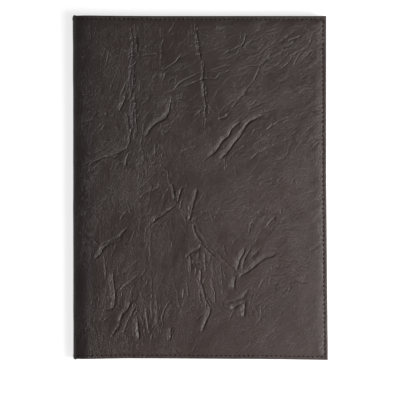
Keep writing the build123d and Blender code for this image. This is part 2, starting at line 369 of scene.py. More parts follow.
CREASES = (
    ((136, 169), (141, 165), (144, 161), (145, 157), (143, 151), (141.5, 143), (143.7, 135)),
    ((139, 128), (138.5, 112)),
    ((112, 153.5), (120, 151), (126, 148.5)),
    ((120, 99.5), (121.9, 93), (125, 87), (128.7, 79.5)),
    ((120.6, 109.5), (123.7, 99.5), (127, 95)),
    ((162.5, 72), (168.7, 68), (176, 62), (182.5, 54.5)),
    ((163.7, 79.5), (166, 73)),
    ((161, 72), (161, 62), (162, 49.5), (163, 43), (166, 37)),
    ((180, 88), (187.5, 86), (195, 82.5), (203, 79.5), (215, 79), (220, 75), (228.7, 71), (232.5, 69)),
    ((174, 90.5), (179, 84), (186, 80), (200, 73)),
    ((238.7, 71), (245, 69), (248.7, 67), (260, 66)),
    ((211, 71), (220, 68), (228.7, 66), (232.5, 64.5)),
    ((223.7, 56), (228.7, 52), (235, 49.5), (241, 46), (245, 42), (246.5, 36)),
    ((246, 47), (251, 42.6), (257.5, 40), (265, 40)),
    ((231, 111), (235, 104.5), (240, 98), (245, 93), (248.7, 87), (253.7, 81), (257.5, 74.5), (262.5, 67)),
    ((280, 69.5), (285, 66), (290, 61), (295, 54.5), (301, 51), (308.7, 48)),
    ((293.7, 66), (296, 61), (300, 54.5), (304, 52)),
    ((287.5, 42), (295, 39), (302.5, 36)),
    ((195, 116), (200, 112), (204, 109.5)),
    ((242.5, 129.5), (248.7, 123), (257.5, 119.5), (265, 117)),
    ((88.7, 173), (101, 163.5), (110, 159), (116, 156), (125, 151)),
    ((147, 176), (147.5, 168), (146, 158)),
    ((148, 174), (146, 169), (145, 162.5)),
    ((160, 136), (163.7, 134), (170, 130.6)),
    ((175, 205), (174, 196), (173.7, 189), (170, 184), (168.7, 177.5), (167.5, 171), (162, 166), (160, 160)),
    ((156, 231), (158.7, 227.5), (160.6, 224)),
    ((180, 153), (187.5, 149), (199, 146)),
    ((139, 199), (145, 194), (155, 190), (162.5, 184)),
    ((120, 221), (124, 215), (127.5, 211)),
    ((249.5, 236), (250, 226), (254, 219), (258, 214), (265, 210), (274, 209)),
    ((250, 229), (257.5, 217), (263.7, 213), (270, 212.5), (276, 214)),
    ((270, 231), (274, 226), (278.7, 222.5)),
    ((251, 160), (256, 155), (263.7, 150), (268.7, 147)),
    ((240.6, 149), (246, 145.6)),
    ((227.5, 167), (227.5, 161)),
    ((262.5, 177), (270, 177.5), (276, 180)),
    ((265, 180.5), (272.5, 180)),
    ((122.5, 275.5), (126, 270.5), (132.5, 265.5), (138, 260.5)),
    ((122, 334), (125, 328), (128.7, 319), (132.5, 313), (135, 305.5)),
    ((162, 324), (162.5, 317), (165, 309), (170, 300.5)),
    ((183, 298), (183, 288)),
    ((196, 275.5), (196, 267)),
    ((214, 304), (214.5, 292), (213, 282)),
    ((198, 266), (198.5, 258), (199.5, 248)),
    ((205.5, 272), (205, 262), (204, 252)),
    ((180, 210), (181.5, 202), (184, 197)),
    ((206, 130), (206.3, 118)),
    ((155, 156), (156, 144)),
    ((248, 110), (254, 107), (262, 105.5)),
    ((176, 108), (184, 107)),
    ((242, 268), (243.7, 260.5), (247.5, 253), (250, 249)),
    ((226, 303), (232.5, 301), (245, 297)),
    ((260, 314), (260, 305.5)),
    ((247.5, 333), (252.5, 330.5), (257.5, 328)),
    ((122, 297), (122, 290.5)),
    ((216, 112), (208.7, 104.5)),
    ((236, 273), (230, 267), (222, 258), (214, 251)),
    ((241, 50), (245, 41), (246.5, 34)),
)
FAINT_CREASES = (
    ((87.5, 122.5), (95, 119), (105, 115)),
    ((97.5, 128), (105, 123), (111, 120)),
    ((105, 73), (106, 67), (108.7, 58), (110, 49.5)),
    ((140, 102), (145, 99.5), (151, 97)),
    ((142.5, 56), (152.5, 55), (160, 54)),
    ((225, 102), (230, 98), (236, 94.5)),
    ((105.6, 279), (105.6, 267), (104, 257), (102.7, 250.5)),
    ((99, 205), (107.5, 205), (111, 202.5)),
    ((258.7, 288), (262.5, 280.5), (270, 272)),
    ((265, 272), (272.5, 268), (280, 265)),
    ((282.5, 292), (286, 288), (291, 285)),
    ((272, 324), (277, 322)),
    ((145, 229), (152, 225)),
    ((162, 158), (162, 152), (157, 146)),
    ((276, 161), (283, 158), (290, 152)),
    ((268.7, 222.5), (275, 217.5)),
    ((143.7, 300.5), (151, 298.6)),
    ((145, 337), (143.7, 325.5), (140, 313)),
    ((187, 224), (184, 215), (181, 207.5)),
    ((215.6, 219), (216, 214)),
    ((175, 97), (173, 106)),
    ((264, 262.5), (280, 260), (298, 261)),
    ((270, 268.5), (290, 266), (310, 267.5)),
    ((266, 275), (284, 273.5), (302, 276)),
    ((274, 283), (292, 281), (311, 283)),
    ((262, 232), (280, 229), (300, 230)),
    ((210, 210), (224, 211), (240, 209)),
    ((288, 46.5), (296, 42)),
    ((272, 67.5), (284, 66)),
    ((270, 130), (273, 123)),
    ((212, 300), (213, 276), (212, 258)),
    ((222, 296), (222, 280), (220, 266)),
    ((92, 121), (99, 118)),
    ((150, 218), (150.5, 238), (150, 262)),
    ((151, 270), (151.5, 296), (151, 326)),
)

# Depth, the widths of the wall that faces the light and of the other one, the height of the shoulder above
# the lit wall, and the depth and the layer of the sharp crack along the bottom
FOLD_SHAPE = (0.86, 2.0, 0.62, 0.10, 0.55, 0)
VALLEY_SHAPE = (0.42, 0.9, 2.4, 0.04, 0.15, 0)
DEEP_SHAPE = (0.27, 1.15, 0.6, 0.04, 0.62, 0)
CREASE_SHAPE = (0.12, 0.8, 0.7, 0.03, 0.42, 1)
FAINT_SHAPE = (0.05, 0.9, 0.8, 0.01, 0.27, 1)
# How steeply a groove ends
GROOVE_POWER = 1.35
# In widths of its wall, how far from the bottom the shoulder is and how wide, and how high the far wall's
# shoulder is as a share
SHOULDER_PLACE = 2.1
SHOULDER_WIDTH = 1.3
FAR_SHOULDER = 0.35
# How many widths away a crease is still felt, over what share of its length it dies out at each end, and how
# unevenly deep it is on its way, with the size of those changes. Where there is no crease, it is FAR_OFF.
FAR_OFF = 9.0
CREASE_REACH = 4.5
CREASE_TAPER = 0.14
CRUMPLING = 0.8
CRUMPLE_SIZE = 3.6
# The depth from which creases flatten out, and the most that they add to it
DEEPEST = (0.58, 0.32)
# The marks of cracks, and how far from a crease they fade
CRACK_LAYERS = ("deep_crease", "fine_crease")
CRACK_FADE = (1.1, 1.9)

# Thin creases braided round a deep one: how many points of it they follow, how far they start and end from
# it, how far they bow away, and their strengths
BRAID_POINTS = (9, 26)
BRAID_STRAY = 1.7
BRAID_BOW = 0.7
BRAID_STRENGTHS = (0.8, 2.0)

# Small wrinkles: their lengths and strengths, how far they stray from the crease that they gather round, and
# by how much they turn from it
WRINKLE_LENGTHS = (4, 9)
WRINKLE_STRETCH = (1, 2.4)
WRINKLE_STRENGTHS = (0.4, 1.0)
WRINKLE_STRAY = 5.5
WRINKLE_TURN = 0.35
# Those that are strewn: where, with what share of the strength, and their angle by the spine, how much less
# it is by the fore-edge, and its spread
WRINKLED_AREA = ((-104, -152), (110, 152))
STREWN_STRENGTH = 0.6
STREWN_LEAN = (66, 46, 16)
STREWN_LEAN_OVER = (-60, 80)
FRONT_WRINKLES = 900
BACK_WRINKLES = 700

# The back cover's long creases: how many, where they start and the length of a stretch of one
BACK_CREASES = 70
BACK_CREASED_AREA = ((-95, -150), (100, 130))
BACK_STRETCH = (7, 12)

# Swells of the leather: height and size of the round ones; and angle, length, width and height of those that
# are drawn out, by the spine and elsewhere
ROUND_SWELLS = ((0.30, 34), (0.14, 23))
SPINE_SWELLS = ((82, 25, 9, 0.20), (78, 12, 4.2, 0.06))
OTHER_SWELLS = ((33, 25, 9, 0.20), (38, 12, 4.2, 0.06))
# Where those by the spine give way to the others, and how far that strays, by noise of what size
SWELLS_TURN = (-50, 40)
SWELLS_STRAY = (12, 40)
# How far and over what size places are pushed about
WANDERS = ((0.30, 3.1), (0.5, 10))
# How far the creases of the two covers run into each other at the spine
COVER_OVERLAP = 5.0
# Creasing by the sewn edges and on the spine: the share that is left, what comes back, and over which places
EDGE_CREASING = (0.15, 0.85)
EDGE_CREASING_OVER = (2.5, 11)
SPINE_CREASING = (0.55, 0.45)
SPINE_CREASING_OVER = (BOARD_START - 12, BOARD_START + 2)
# How far in from an edge cracks and the ridge over the board come in
CRACKS_OVER = (0.2, 2)
RIDGE_OVER = (4, 14)


def from_photo(points):
    """Photograph pixels as places on the cover."""
    x, y = np.array(points, float).T
    return np.stack([(x - PHOTO_CENTRE[0]) * PIXEL, (PHOTO_CENTRE[1] - y) * PIXEL], 1)


def rounded(points, step=0.8):
    """A smooth line through points (Catmull-Rom), as points about one step apart."""
    padded = np.vstack([2 * points[0] - points[1], points, 2 * points[-1] - points[-2]])
    line = [points[:1]]
    for a, b, c, d in zip(padded, padded[1:], padded[2:], padded[3:]):
        count = max(2, round(float(np.linalg.norm(c - b)) / step))
        t = (np.arange(1, count + 1) / count)[:, None]
        square, cube = 2 * a - 5 * b + 4 * c - d, 3 * b - a - 3 * c + d
        line.append(0.5 * (2 * b + (c - a) * t + square * t**2 + cube * t**3))
    return np.vstack(line)


class Relief:
    """A height field over places, with how far off and how deep each layer's nearest crease is."""

    def __init__(self, x, y, height):
        self.x, self.y = x, y
        self.height = height
        self.crumpled = 1 + CRUMPLING * gradient_noise(x, y, CRUMPLE_SIZE, 91)
        self.gap = np.full((2,) + x.shape, FAR_OFF)
        self.marks = np.zeros((2, 2) + x.shape)


def press(relief, line, shape, strength=1.0):
    """Presses one crease into a relief: a groove with two unlike walls and soft shoulders."""
    depth, near, far, shoulder, crack, layer = shape
    x, y = relief.x, relief.y
    reach = CREASE_REACH * max(near, far)
    low, high = line.min(0) - reach, line.max(0) + reach
    picked = (x > low[0]) & (x < high[0]) & (y > low[1]) & (y < high[1])
    if not picked.any():
        return
    px, py = x[picked][:, None], y[picked][:, None]
    start, run = line[:-1], np.diff(line, axis=0)
    squared = (run**2).sum(1)
    along = np.clip(((px - start[:, 0]) * run[:, 0] + (py - start[:, 1]) * run[:, 1]) / squared, 0, 1)
    gap_x = px - start[:, 0] - along * run[:, 0]
    gap_y = py - start[:, 1] - along * run[:, 1]
    distance = np.hypot(gap_x, gap_y)
    nearest = distance.argmin(1)
    rows = np.arange(len(nearest))
    distance = distance[rows, nearest]
    share = (nearest + along[rows, nearest]) / len(run)
    side = run[nearest, 0] * gap_y[rows, nearest] - run[nearest, 1] * gap_x[rows, nearest]
    overall = line[-1] - line[0]
    if overall[0] + overall[1] < 0:
        side = -side
    width = np.where(side > 0, near, far)
    taper = smooth(0, CREASE_TAPER, share) * smooth(0, CREASE_TAPER, 1 - share)
    groove = -depth * np.exp(-((distance / width) ** GROOVE_POWER))
    bank = shoulder * np.exp(-(((distance - SHOULDER_PLACE * width) / (SHOULDER_WIDTH * width)) ** 2))
    bank *= np.where(side > 0, 1, FAR_SHOULDER)
    relief.height[picked] += strength * relief.crumpled[picked] * taper * (groove + bank)
    nearer = distance < relief.gap[layer][picked]
    places = tuple(index[nearer] for index in np.nonzero(picked))
    relief.gap[layer][places] = distance[nearer]
    relief.marks[layer, 0][places] = (np.sign(side) * distance)[nearer]
    relief.marks[layer, 1][places] = (strength * crack * taper * (1 - smooth(*CRACK_FADE, distance)))[nearer]


def braid(relief, line, rng):
    """Thin creases that run along a deep one, cross it and leave it."""
    across = np.gradient(line, axis=0)[:, ::-1] * (-1, 1)
    across /= np.linalg.norm(across, axis=1, keepdims=True)
    for _ in range(max(2, len(line) // 5)):
        count = min(len(line), int(rng.integers(*BRAID_POINTS)))
        first = int(rng.integers(0, len(line) - count + 1))
        share = np.linspace(0, 1, count)[:, None]
        start, end = rng.normal(0, BRAID_STRAY, 2)
        drift = start * (1 - share) + end * share + rng.normal(0, BRAID_BOW) * np.sin(math.pi * share)
        part = slice(first, first + count)
        press(relief, line[part] + across[part] * drift, FAINT_SHAPE, rng.uniform(*BRAID_STRENGTHS))


def small_wrinkles(relief, rng, guides, count):
    """Short seeded creases. Most gather round the long ones and follow them, the rest lie anywhere.

    Those rise to the fore-edge at the head, and stand more upright by the spine.
    """
    for number in range(count):
        length = rng.uniform(*WRINKLE_LENGTHS) * rng.uniform(*WRINKLE_STRETCH)
        strength = rng.uniform(*WRINKLE_STRENGTHS) ** 1.5
        if number % 3:
            guide = guides[rng.integers(len(guides))]
            at = int(rng.integers(len(guide) - 1))
            place = guide[at] + rng.normal(0, WRINKLE_STRAY, 2)
            heading = guide[at + 1] - guide[at]
            lean = math.atan2(heading[1], heading[0]) + rng.normal(0, WRINKLE_TURN)
        else:
            place = rng.uniform(*WRINKLED_AREA)
            upright, less, spread = STREWN_LEAN
            lean = math.radians(rng.normal(upright - less * smooth(*STREWN_LEAN_OVER, place[0]), spread))
            strength *= STREWN_STRENGTH
        t = np.linspace(-0.5, 0.5, max(4, int(length / 1.2)))
        turn = lean + rng.normal(0, 0.10) * t * 2
        line = place + length * np.stack([t * np.cos(turn), t * np.sin(turn)], 1)
        press(relief, line, FAINT_SHAPE, strength)


def wandering_crease(rng):
    """A long seeded crease for the back cover, as a slowly turning walk."""
    points = [rng.uniform(*BACK_CREASED_AREA)]
    heading = rng.uniform(0.6, 2.4)
    for _ in range(rng.integers(4, 10)):
        heading += rng.normal(0, 0.35)
        ahead = np.array([math.cos(heading), math.sin(heading)])
        points.append(points[-1] + rng.uniform(*BACK_STRETCH) * ahead)
    return rounded(np.array(points))


def streaks(x, y, swells, seed):
    """Noise drawn out along the swells' angles."""
    total = 0
    for number, (angle, along, across, height) in enumerate(swells):
        turn = math.radians(angle)
        u = (x * math.cos(turn) + y * math.sin(turn)) * across / along
        v = y * math.cos(turn) - x * math.sin(turn)
        total = total + height * gradient_noise(u, v, across, seed + number)
    return total


def swell(x, y, seed):
    """The soft leather's slow rise and fall, upright by the spine and rising to the fore-edge elsewhere."""
    (high, size), (low, less) = ROUND_SWELLS
    slow = high * gradient_noise(x, y, size, seed) + low * gradient_noise(x + y, y - x, less, seed + 1)
    stray, across = SWELLS_STRAY
    leaning = smooth(*SWELLS_TURN, x + stray * gradient_noise(x, y, across, seed + 2))
    by_spine, elsewhere = streaks(x, y, SPINE_SWELLS, seed + 3), streaks(x, y, OTHER_SWELLS, seed + 5)
    return slow + by_spine * (1 - leaning) + elsewhere * leaning


def uneven(x, y, seed):
    """Places pushed about a little, so that no crease runs quite smoothly."""

    def shift(number):
        return sum(reach * gradient_noise(x, y, size, number + i) for i, (reach, size) in enumerate(WANDERS))

    return x + shift(seed), y + shift(seed + 2)


def kept_above_the_core(height):
    """A height field whose deepest places flatten out before they reach the wadding."""
    start, room = DEEPEST
    below = np.maximum(-height - start, 0)
    return np.where(below > 0, -start - room * (1 - np.exp(-below / room)), height)


def front_relief(x, y):
    """The relief of the front cover's leather."""
    relief = Relief(*uneven(x, y, 51), swell(x, y, 11))
    rng = np.random.default_rng(3)
    guides = []
    for shape, lines in (
        (FOLD_SHAPE, FOLDS),
        (VALLEY_SHAPE, VALLEYS),
        (DEEP_SHAPE, DEEP_CREASES),
        (CREASE_SHAPE, CREASES),
        (FAINT_SHAPE, FAINT_CREASES),
    ):
        for points in lines:
            line = rounded(from_photo(points))
            guides.append(line)
            press(relief, line, shape)
            if shape == DEEP_SHAPE:
                braid(relief, line, rng)
    small_wrinkles(relief, rng, guides, FRONT_WRINKLES)
    return relief


def back_relief(x, y):
    """The same for the back cover, which has its own seeded creases."""
    relief = Relief(*uneven(x, y, 57), swell(x, y, 31))
    rng = np.random.default_rng(8)
    guides = []
    for number in range(BACK_CREASES):
        line = wandering_crease(rng)
        guides.append(line)
        deep = number % 4 == 0
        press(relief, line, DEEP_SHAPE if deep else CREASE_SHAPE)
        if deep:
            braid(relief, line, rng)
    small_wrinkles(relief, rng, guides, BACK_WRINKLES)
    return relief


# The spine's curve: distance along it from its outermost line, and the angle there
ANGLES = np.linspace(0, math.pi / 2, 400)
CURVE = np.stack([-SPINE_REACH * np.cos(ANGLES), MIDDLE * np.sin(ANGLES)], 1)
CURVE_RUN = np.concatenate([[0], np.cumsum(np.linalg.norm(np.diff(CURVE, axis=0), axis=1))])
SPINE_ARC = CURVE_RUN[-1]
APEX = BOARD_START - SPINE_ARC


def hide_relief(run, y):
    """How far the hide stands out, along its run from the back's fore-edge (below 0) to the front's.

    With it come the marks of the nearest creases: signed distances and depths, in two layers.
    """
    height = np.zeros(np.broadcast(run, y).shape)
    marks = np.zeros((2, 2) + height.shape)
    on_front = run > -COVER_OVERLAP
    on_back = run < COVER_OVERLAP
    share = smooth(-COVER_OVERLAP, COVER_OVERLAP, run)
    if on_front.any():
        front = front_relief(APEX + run[on_front], y[on_front])
        height[on_front] += share[on_front] * front.height
        marks[..., on_front] = front.marks
    if on_back.any():
        back = back_relief(APEX - run[on_back], y[on_back])
        height[on_back] += (1 - share[on_back]) * back.height
        lower = run[on_back] < 0
        marks[..., on_back] = np.where(lower, back.marks, marks[..., on_back])
    x = APEX + np.abs(run)
    inset = np.minimum(FORE_EDGE - x, HEAD - np.abs(y))
    left, more = EDGE_CREASING
    by_edge = left + more * smooth(*EDGE_CREASING_OVER, inset)
    left, more = SPINE_CREASING
    even = by_edge * (left + more * smooth(*SPINE_CREASING_OVER, x))
    marks[:, 1] *= even * smooth(*CRACKS_OVER, inset)
    ridge = BOARD_EDGE_RISE * np.exp(-(((x - BOARD_START) / BOARD_EDGE_WIDTH) ** 2))
    return kept_above_the_core(height) * even + ridge * smooth(*RIDGE_OVER, inset), marks


def seam_relief(inset):
    """The lip outside the seam, and the groove that the thread pulls into the leather."""
    lip = LIP_RISE * np.sin(math.pi * np.clip(inset / SEAM_INSET, 0, 1)) ** 1.5
    return lip - SEAM_PULL * np.exp(-(((inset - SEAM_INSET) / SEAM_PULL_WIDTH) ** 2))


def rounding(inset, radius):
    """How far a rounded edge falls off near its end."""
    share = np.clip(1 - inset / radius, 0, 1)
    return radius * (1 - np.sqrt(1 - share**2))


def soft_minimum(a, b, blend=1.6):
    """The lesser of two distances, rounded where they are alike."""
    mix = np.clip(0.5 + 0.5 * (b - a) / blend, 0, 1)
    return b * (1 - mix) + a * mix - blend * mix * (1 - mix)


def form(run, y, fall, depth):
    """Points of the closed hide's form below its outside, and its outward directions."""
    angle = np.interp(np.abs(run), CURVE_RUN, ANGLES)
    reach = SPINE_REACH - depth
    rise = MIDDLE - fall - depth
    x = BOARD_START - reach * np.cos(angle) + np.maximum(np.abs(run) - SPINE_ARC, 0)
    z = MIDDLE + np.sign(run) * rise * np.sin(angle)
    out = np.stack([-rise * np.cos(angle), 0 * x, np.sign(run) * reach * np.sin(angle) + 0 * x], -1)
    return np.stack([x, y + 0 * x, z], -1), out / np.linalg.norm(out, axis=-1, keepdims=True)


def skin(run, y, height=None):
    """Points of the outer surface with its roll, seam and creases, before it settles."""
    if height is None:
        height = hide_relief(run, y)[0]
    x = APEX + np.abs(run)
    from_end = HEAD - np.abs(y)
    from_fore = FORE_EDGE - x
    inset = np.maximum(soft_minimum(from_end, from_fore), 0)
    share = np.clip((ROLL_START - inset) / (ROLL_START - SEAM_INSET), 0, 1)
    by_fore_edge = smooth(0, CORNER_BLEND, from_end - from_fore)
    slack = LOW_SLACK * (2 * by_fore_edge - 1) * smooth(*LOW_SLACK_OVER, y)
    fall = BAND_FALL * share**ROLL_POWER * (1 - slack)
    fall = fall * (SPINE_END_SHARE + (1 - SPINE_END_SHARE) * smooth(*SPINE_END_OVER, x))
    edge = rounding(np.minimum(from_end, from_fore), EDGE_ROUND)
    points, out = form(run, y, fall, edge)
    return points + out * (height + seam_relief(inset))[..., None]


# Wander of each edge: shares of the way along it, from the tail or from the spine, and the shifts there
FORE_WANDER = ((0, 0.06, 0.19, 0.3, 0.42, 0.52, 1), (1.0, 0.85, 0.4, 0.1, -0.25, -0.6, -0.6))
SPINE_WANDER = ((0, 0.4, 0.8, 1), (0.3, 0.1, 0.0, -0.4))
TAIL_WANDER = ((0, 0.09, 0.21, 0.38, 0.53, 0.72, 0.84, 1), (-0.1, 0.1, 0.6, 0.45, 0.15, -0.1, -0.4, -1.0))
HEAD_WANDER = ((0, 0.09, 0.21, 0.34, 1), (0.3, 0.25, 0.0, -0.15, -0.15))
# The ears: how far from the outermost line, how wide, and how far they run in from the ends
EAR_PLACE = 1.9
EAR_WIDTH = 1.3
EAR_RUN = 9


def settle(points):
    """The outline isn't quite true: its edges wander a little, and the hide's folds stand out as ears."""
    x, y = points[..., 0], points[..., 1]
    across = np.clip((x - SPINE_EDGE) / (FORE_EDGE - SPINE_EDGE), 0, 1)
    up = np.clip((y + HEAD) / (2 * HEAD), 0, 1)
    ear = EAR * np.exp(-(((x - SPINE_EDGE - EAR_PLACE) / EAR_WIDTH) ** 2))
    ear *= smooth(HEAD - EAR_RUN, HEAD, np.abs(y))
    moved = points.copy()
    moved[..., 0] += (1 - across) * np.interp(up, *SPINE_WANDER) + across * np.interp(up, *FORE_WANDER)
    moved[..., 1] += (1 - up) * np.interp(across, *TAIL_WANDER) + up * np.interp(across, *HEAD_WANDER)
    moved[..., 1] += ear * np.sign(y)
    return moved


def laid(x, y, level, side):
    """Settled points at a level below a cover's outside face."""
    z = level if side == "back" else THICKNESS - level
    return settle(np.stack(np.broadcast_arrays(x, y, z), -1).astype(float))


# The first step in from an edge, and how much each next one grows with the distance
EDGE_STEP = 0.25
EDGE_STEP_GROWTH = 0.065


def edge_insets(limit):
    """Distances in from an edge of the grid's lines there, closer together towards it."""
    insets = [0.0]
    while insets[-1] < limit:
        insets.append(insets[-1] + EDGE_STEP + EDGE_STEP_GROWTH * insets[-1])
    return np.array(insets) * limit / insets[-1]


def lines_to_edge(start, end, step, margin):
    """Grid lines from a place to an edge, evenly spaced up to the margin."""
    count = max(1, round((end - margin - start) / step))
    even = np.linspace(start, end - margin, count + 1)[:-1]
    return np.concatenate([even, end - edge_insets(margin)[::-1]])


def height_lines(half, step, margin):
    """Grid lines from the tail to the head."""
    upper = lines_to_edge(0, half, step, margin)
    return np.concatenate([-upper[:0:-1], upper])


# Edges that turn by more than this stay sharp
SQUARE_EDGE = math.radians(72)


class Shell:
    """A closed mesh put together from grids, strips and caps of points."""

    def __init__(self):
        self.points = []
        self.faces = []
        self.count = 0

    def add(self, points):
        """Adds points and gives their numbers, in the same shape."""
        points = np.asarray(points, float)
        self.points.append(points.reshape(-1, 3))
        numbers = np.arange(self.count, self.count + len(self.points[-1])).reshape(points.shape[:-1])
        self.count += numbers.size
        return numbers

    def grid(self, numbers, flip=False):
        """Quads between rows of numbers.

        Their fronts face the side from which the rows rise to the left of the columns.
        """
        quads = np.stack([numbers[:-1, :-1], numbers[:-1, 1:], numbers[1:, 1:], numbers[1:, :-1]], -1)
        quads = quads.reshape(-1, 4)
        self.faces += (quads[:, ::-1] if flip else quads).tolist()

    def strip(self, a, b, flip=False):
        """Quads between two equally long lines of numbers."""
        self.grid(np.stack([a, b]), not flip)

    def cap(self, numbers, flip=False):
        """One face round a line of numbers."""
        self.faces.append([int(n) for n in (numbers[::-1] if flip else numbers)])

    def close(self, outside, inside, flip=False):
        """The four narrow sides between an outer and an inner grid of the same shape."""
        self.strip(outside[0], inside[0], flip)
        self.strip(outside[:, -1], inside[:, -1], flip)
        self.strip(outside[-1, ::-1], inside[-1, ::-1], flip)
        self.strip(outside[::-1, 0], inside[::-1, 0], flip)

    def sandwich(self, outside, inside, flip=False):
        """A closed sheet between two grids of the same shape."""
        self.grid(outside, flip)
        self.grid(inside, not flip)
        self.close(outside, inside, flip)

    def build(self, name, material, slot, pins=(), part=None):
        """The mesh object, smooth but for its square edges. It keeps its places at rest for its pattern.

        pins are numbers and normals where it meets its neighbour. part is the part of the hide's surface
        that its first points are, which says how rubbed they are, how much painted shade they take by the spine
        and where their creases run.
        """
        points = np.concatenate(self.points)
        mesh = bpy.data.meshes.new(name)
        mesh.from_pydata((points * MM).tolist(), [], self.faces)
        mesh.shade_smooth()
        mesh.set_sharp_from_angle(angle=SQUARE_EDGE)
        rest = mesh.attributes.new("rest", "FLOAT_VECTOR", "POINT")
        rest.data.foreach_set("vector", points.astype(np.float32).ravel())
        if part is not None:
            count = HIDE_WORN[part].size
            # The painted shade by the spine is stored as a point attribute next to the rubbed edges
            for title, field in (("worn", HIDE_WORN), ("handled", HIDE_PAINTED_SHADE)):
                values = np.zeros(len(points), np.float32)
                values[:count] = field[part].ravel()
                mesh.attributes.new(title, "FLOAT", "POINT").data.foreach_set("value", values)
            for layer, marks in zip(CRACK_LAYERS, HIDE_MARKS):
                values = np.zeros((len(points), 3), np.float32)
                for axis in (0, 1):
                    values[:count, axis] = marks[axis][part].ravel()
                creases = mesh.attributes.new(layer, "FLOAT_VECTOR", "POINT")
                creases.data.foreach_set("vector", values.ravel())
        if pins:
            normals = np.zeros((len(points), 3))
            for numbers, directions in pins:
                normals[numbers] = directions
            mesh.normals_split_custom_set_from_vertices(normals.tolist())
        mesh.materials.append(material)
        piece = bpy.data.objects.new(name, mesh)
        bpy.context.scene.collection.objects.link(piece)
        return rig.slot(piece, slot)


def bend(piece, side):
    """The piece bends with the back's or the front's half of the spine."""
    (x0, z0), (x1, z1) = BEND_START, BEND_END
    if side == "back":
        start, end = (x0, z0), (x1, z1)
        bodies = ("back_cover", "spine")
    else:
        start, end = (x1, THICKNESS - z1), (x0, THICKNESS - z0)
        bodies = ("spine", "front_cover")
    start, end = [(x * MM, 0, z * MM) for x, z in (start, end)]
    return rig.blend(piece, *bodies, start=start, end=end)


# The hide's whole outer surface as one grid, with the places where it is cut into pieces
FRONT_LINES = lines_to_edge(BOARD_START, FORE_EDGE, GRID_STEP, ROLL_START + 1) - APEX
BACK_LINES = lines_to_edge(BOARD_START, FORE_EDGE, BACK_GRID_STEP, ROLL_START + 1) - APEX
SPINE_LINES = np.linspace(0, SPINE_ARC, SPINE_COLUMNS)
RUN_LINES = np.concatenate([-BACK_LINES[:0:-1], -SPINE_LINES[:0:-1], SPINE_LINES, FRONT_LINES[1:]])
HEIGHT_LINES = height_lines(HEAD, GRID_STEP, ROLL_START + 1)
BACK_JOIN = len(BACK_LINES) - 1
CENTRE = BACK_JOIN + SPINE_COLUMNS - 1
FRONT_JOIN = CENTRE + SPINE_COLUMNS - 1
RUN, HEIGHT = np.meshgrid(RUN_LINES, HEIGHT_LINES)
HIDE_HEIGHT, HIDE_MARKS = hide_relief(RUN, HEIGHT)
HIDE = settle(skin(RUN, HEIGHT, HIDE_HEIGHT))
HIDE_NORMALS = np.cross(np.gradient(HIDE, axis=1), np.gradient(HIDE, axis=0))
HIDE_NORMALS /= np.linalg.norm(HIDE_NORMALS, axis=-1, keepdims=True)
# Where it is rubbed, along its edges and its outermost line, and where painted shade darkens it by the spine, standing
# in for the shaded side of the spine's roll
WORN_BY_EDGE = (0.6, 2.6)
WORN_BY_SPINE = (2.5, 7.0)
SPINE_SHADE_OVER = (14, 32)
HIDE_WORN = np.maximum(
    1 - smooth(*WORN_BY_EDGE, np.minimum(FORE_EDGE - APEX - np.abs(RUN), HEAD - np.abs(HEIGHT))),
    1 - smooth(*WORN_BY_SPINE, np.abs(RUN)),
)
HIDE_PAINTED_SHADE = 1 - smooth(*SPINE_SHADE_OVER, np.abs(RUN))

# The turned-in margin's way round the edge and back to the board, as insets and levels
MARGIN_RINGS = (
    (0.12, TURN_LEVEL - 0.22),
    (0.5, TURN_LEVEL),
    (LINING_INSET + 0.3, TURN_LEVEL),
    (HEM_WIDTH, TURN_LEVEL),
    (HEM_WIDTH, CORE),
    (BOARD_INSET, CORE),
    (BOARD_INSET, BOARD_LEVEL),
    (WADDING_INSET, BOARD_LEVEL),
    (WADDING_INSET, LEATHER),
)
# The inside of the spine's leather at its tail, as distances from the end and depths
SPINE_END_ROWS = (
    (0.12, SPINE_MARGIN - 0.2),
    (0.5, SPINE_MARGIN),
    (1.8, SPINE_MARGIN),
    (HEM_WIDTH, SPINE_MARGIN),
    (HEM_WIDTH, LEATHER),
)


def cover_leather(side, material):
    """A cover's leather: the outside, the edge, the turned-in margin and the inside, on the board."""
    back = side == "back"
    part = np.s_[:, BACK_JOIN::-1] if back else np.s_[:, FRONT_JOIN:]
    shell = Shell()
    outside = shell.add(HIDE[part])
    shell.grid(outside, back)
    x = APEX + np.abs(RUN_LINES[part[1]])
    y = HEIGHT_LINES
    border_x = np.concatenate([x, np.full(len(y) - 1, x[-1]), x[-2::-1]])
    border_y = np.concatenate([np.full(len(x), y[0]), y[1:], np.full(len(x) - 1, y[-1])])
    rings = [np.concatenate([outside[0], outside[1:, -1], outside[-1, -2::-1]])]
    for inset, level in MARGIN_RINGS:
        across = BOARD_START + (border_x - BOARD_START) * (1 - inset / (FORE_EDGE - BOARD_START))
        rings.append(shell.add(laid(across, border_y * (1 - inset / HEAD), level, side)))
        shell.strip(rings[-2], rings[-1], back)
    shell.cap(rings[-1], not back)
    ends = [ring[-1] for ring in rings[1:]] + [ring[0] for ring in rings[:0:-1]]
    shell.cap(np.concatenate([outside[:, 0], ends]), back)
    pins = [(outside[:, 0], HIDE_NORMALS[part][:, 0])]
    piece = shell.build(f"{side}_cover_leather", material, "crinkled_leather", pins, part)
    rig.ride(piece, f"{side}_cover")
    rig.replaces(piece, f"{side}_outer_leather")
    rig.padded(piece, fill=0.9)


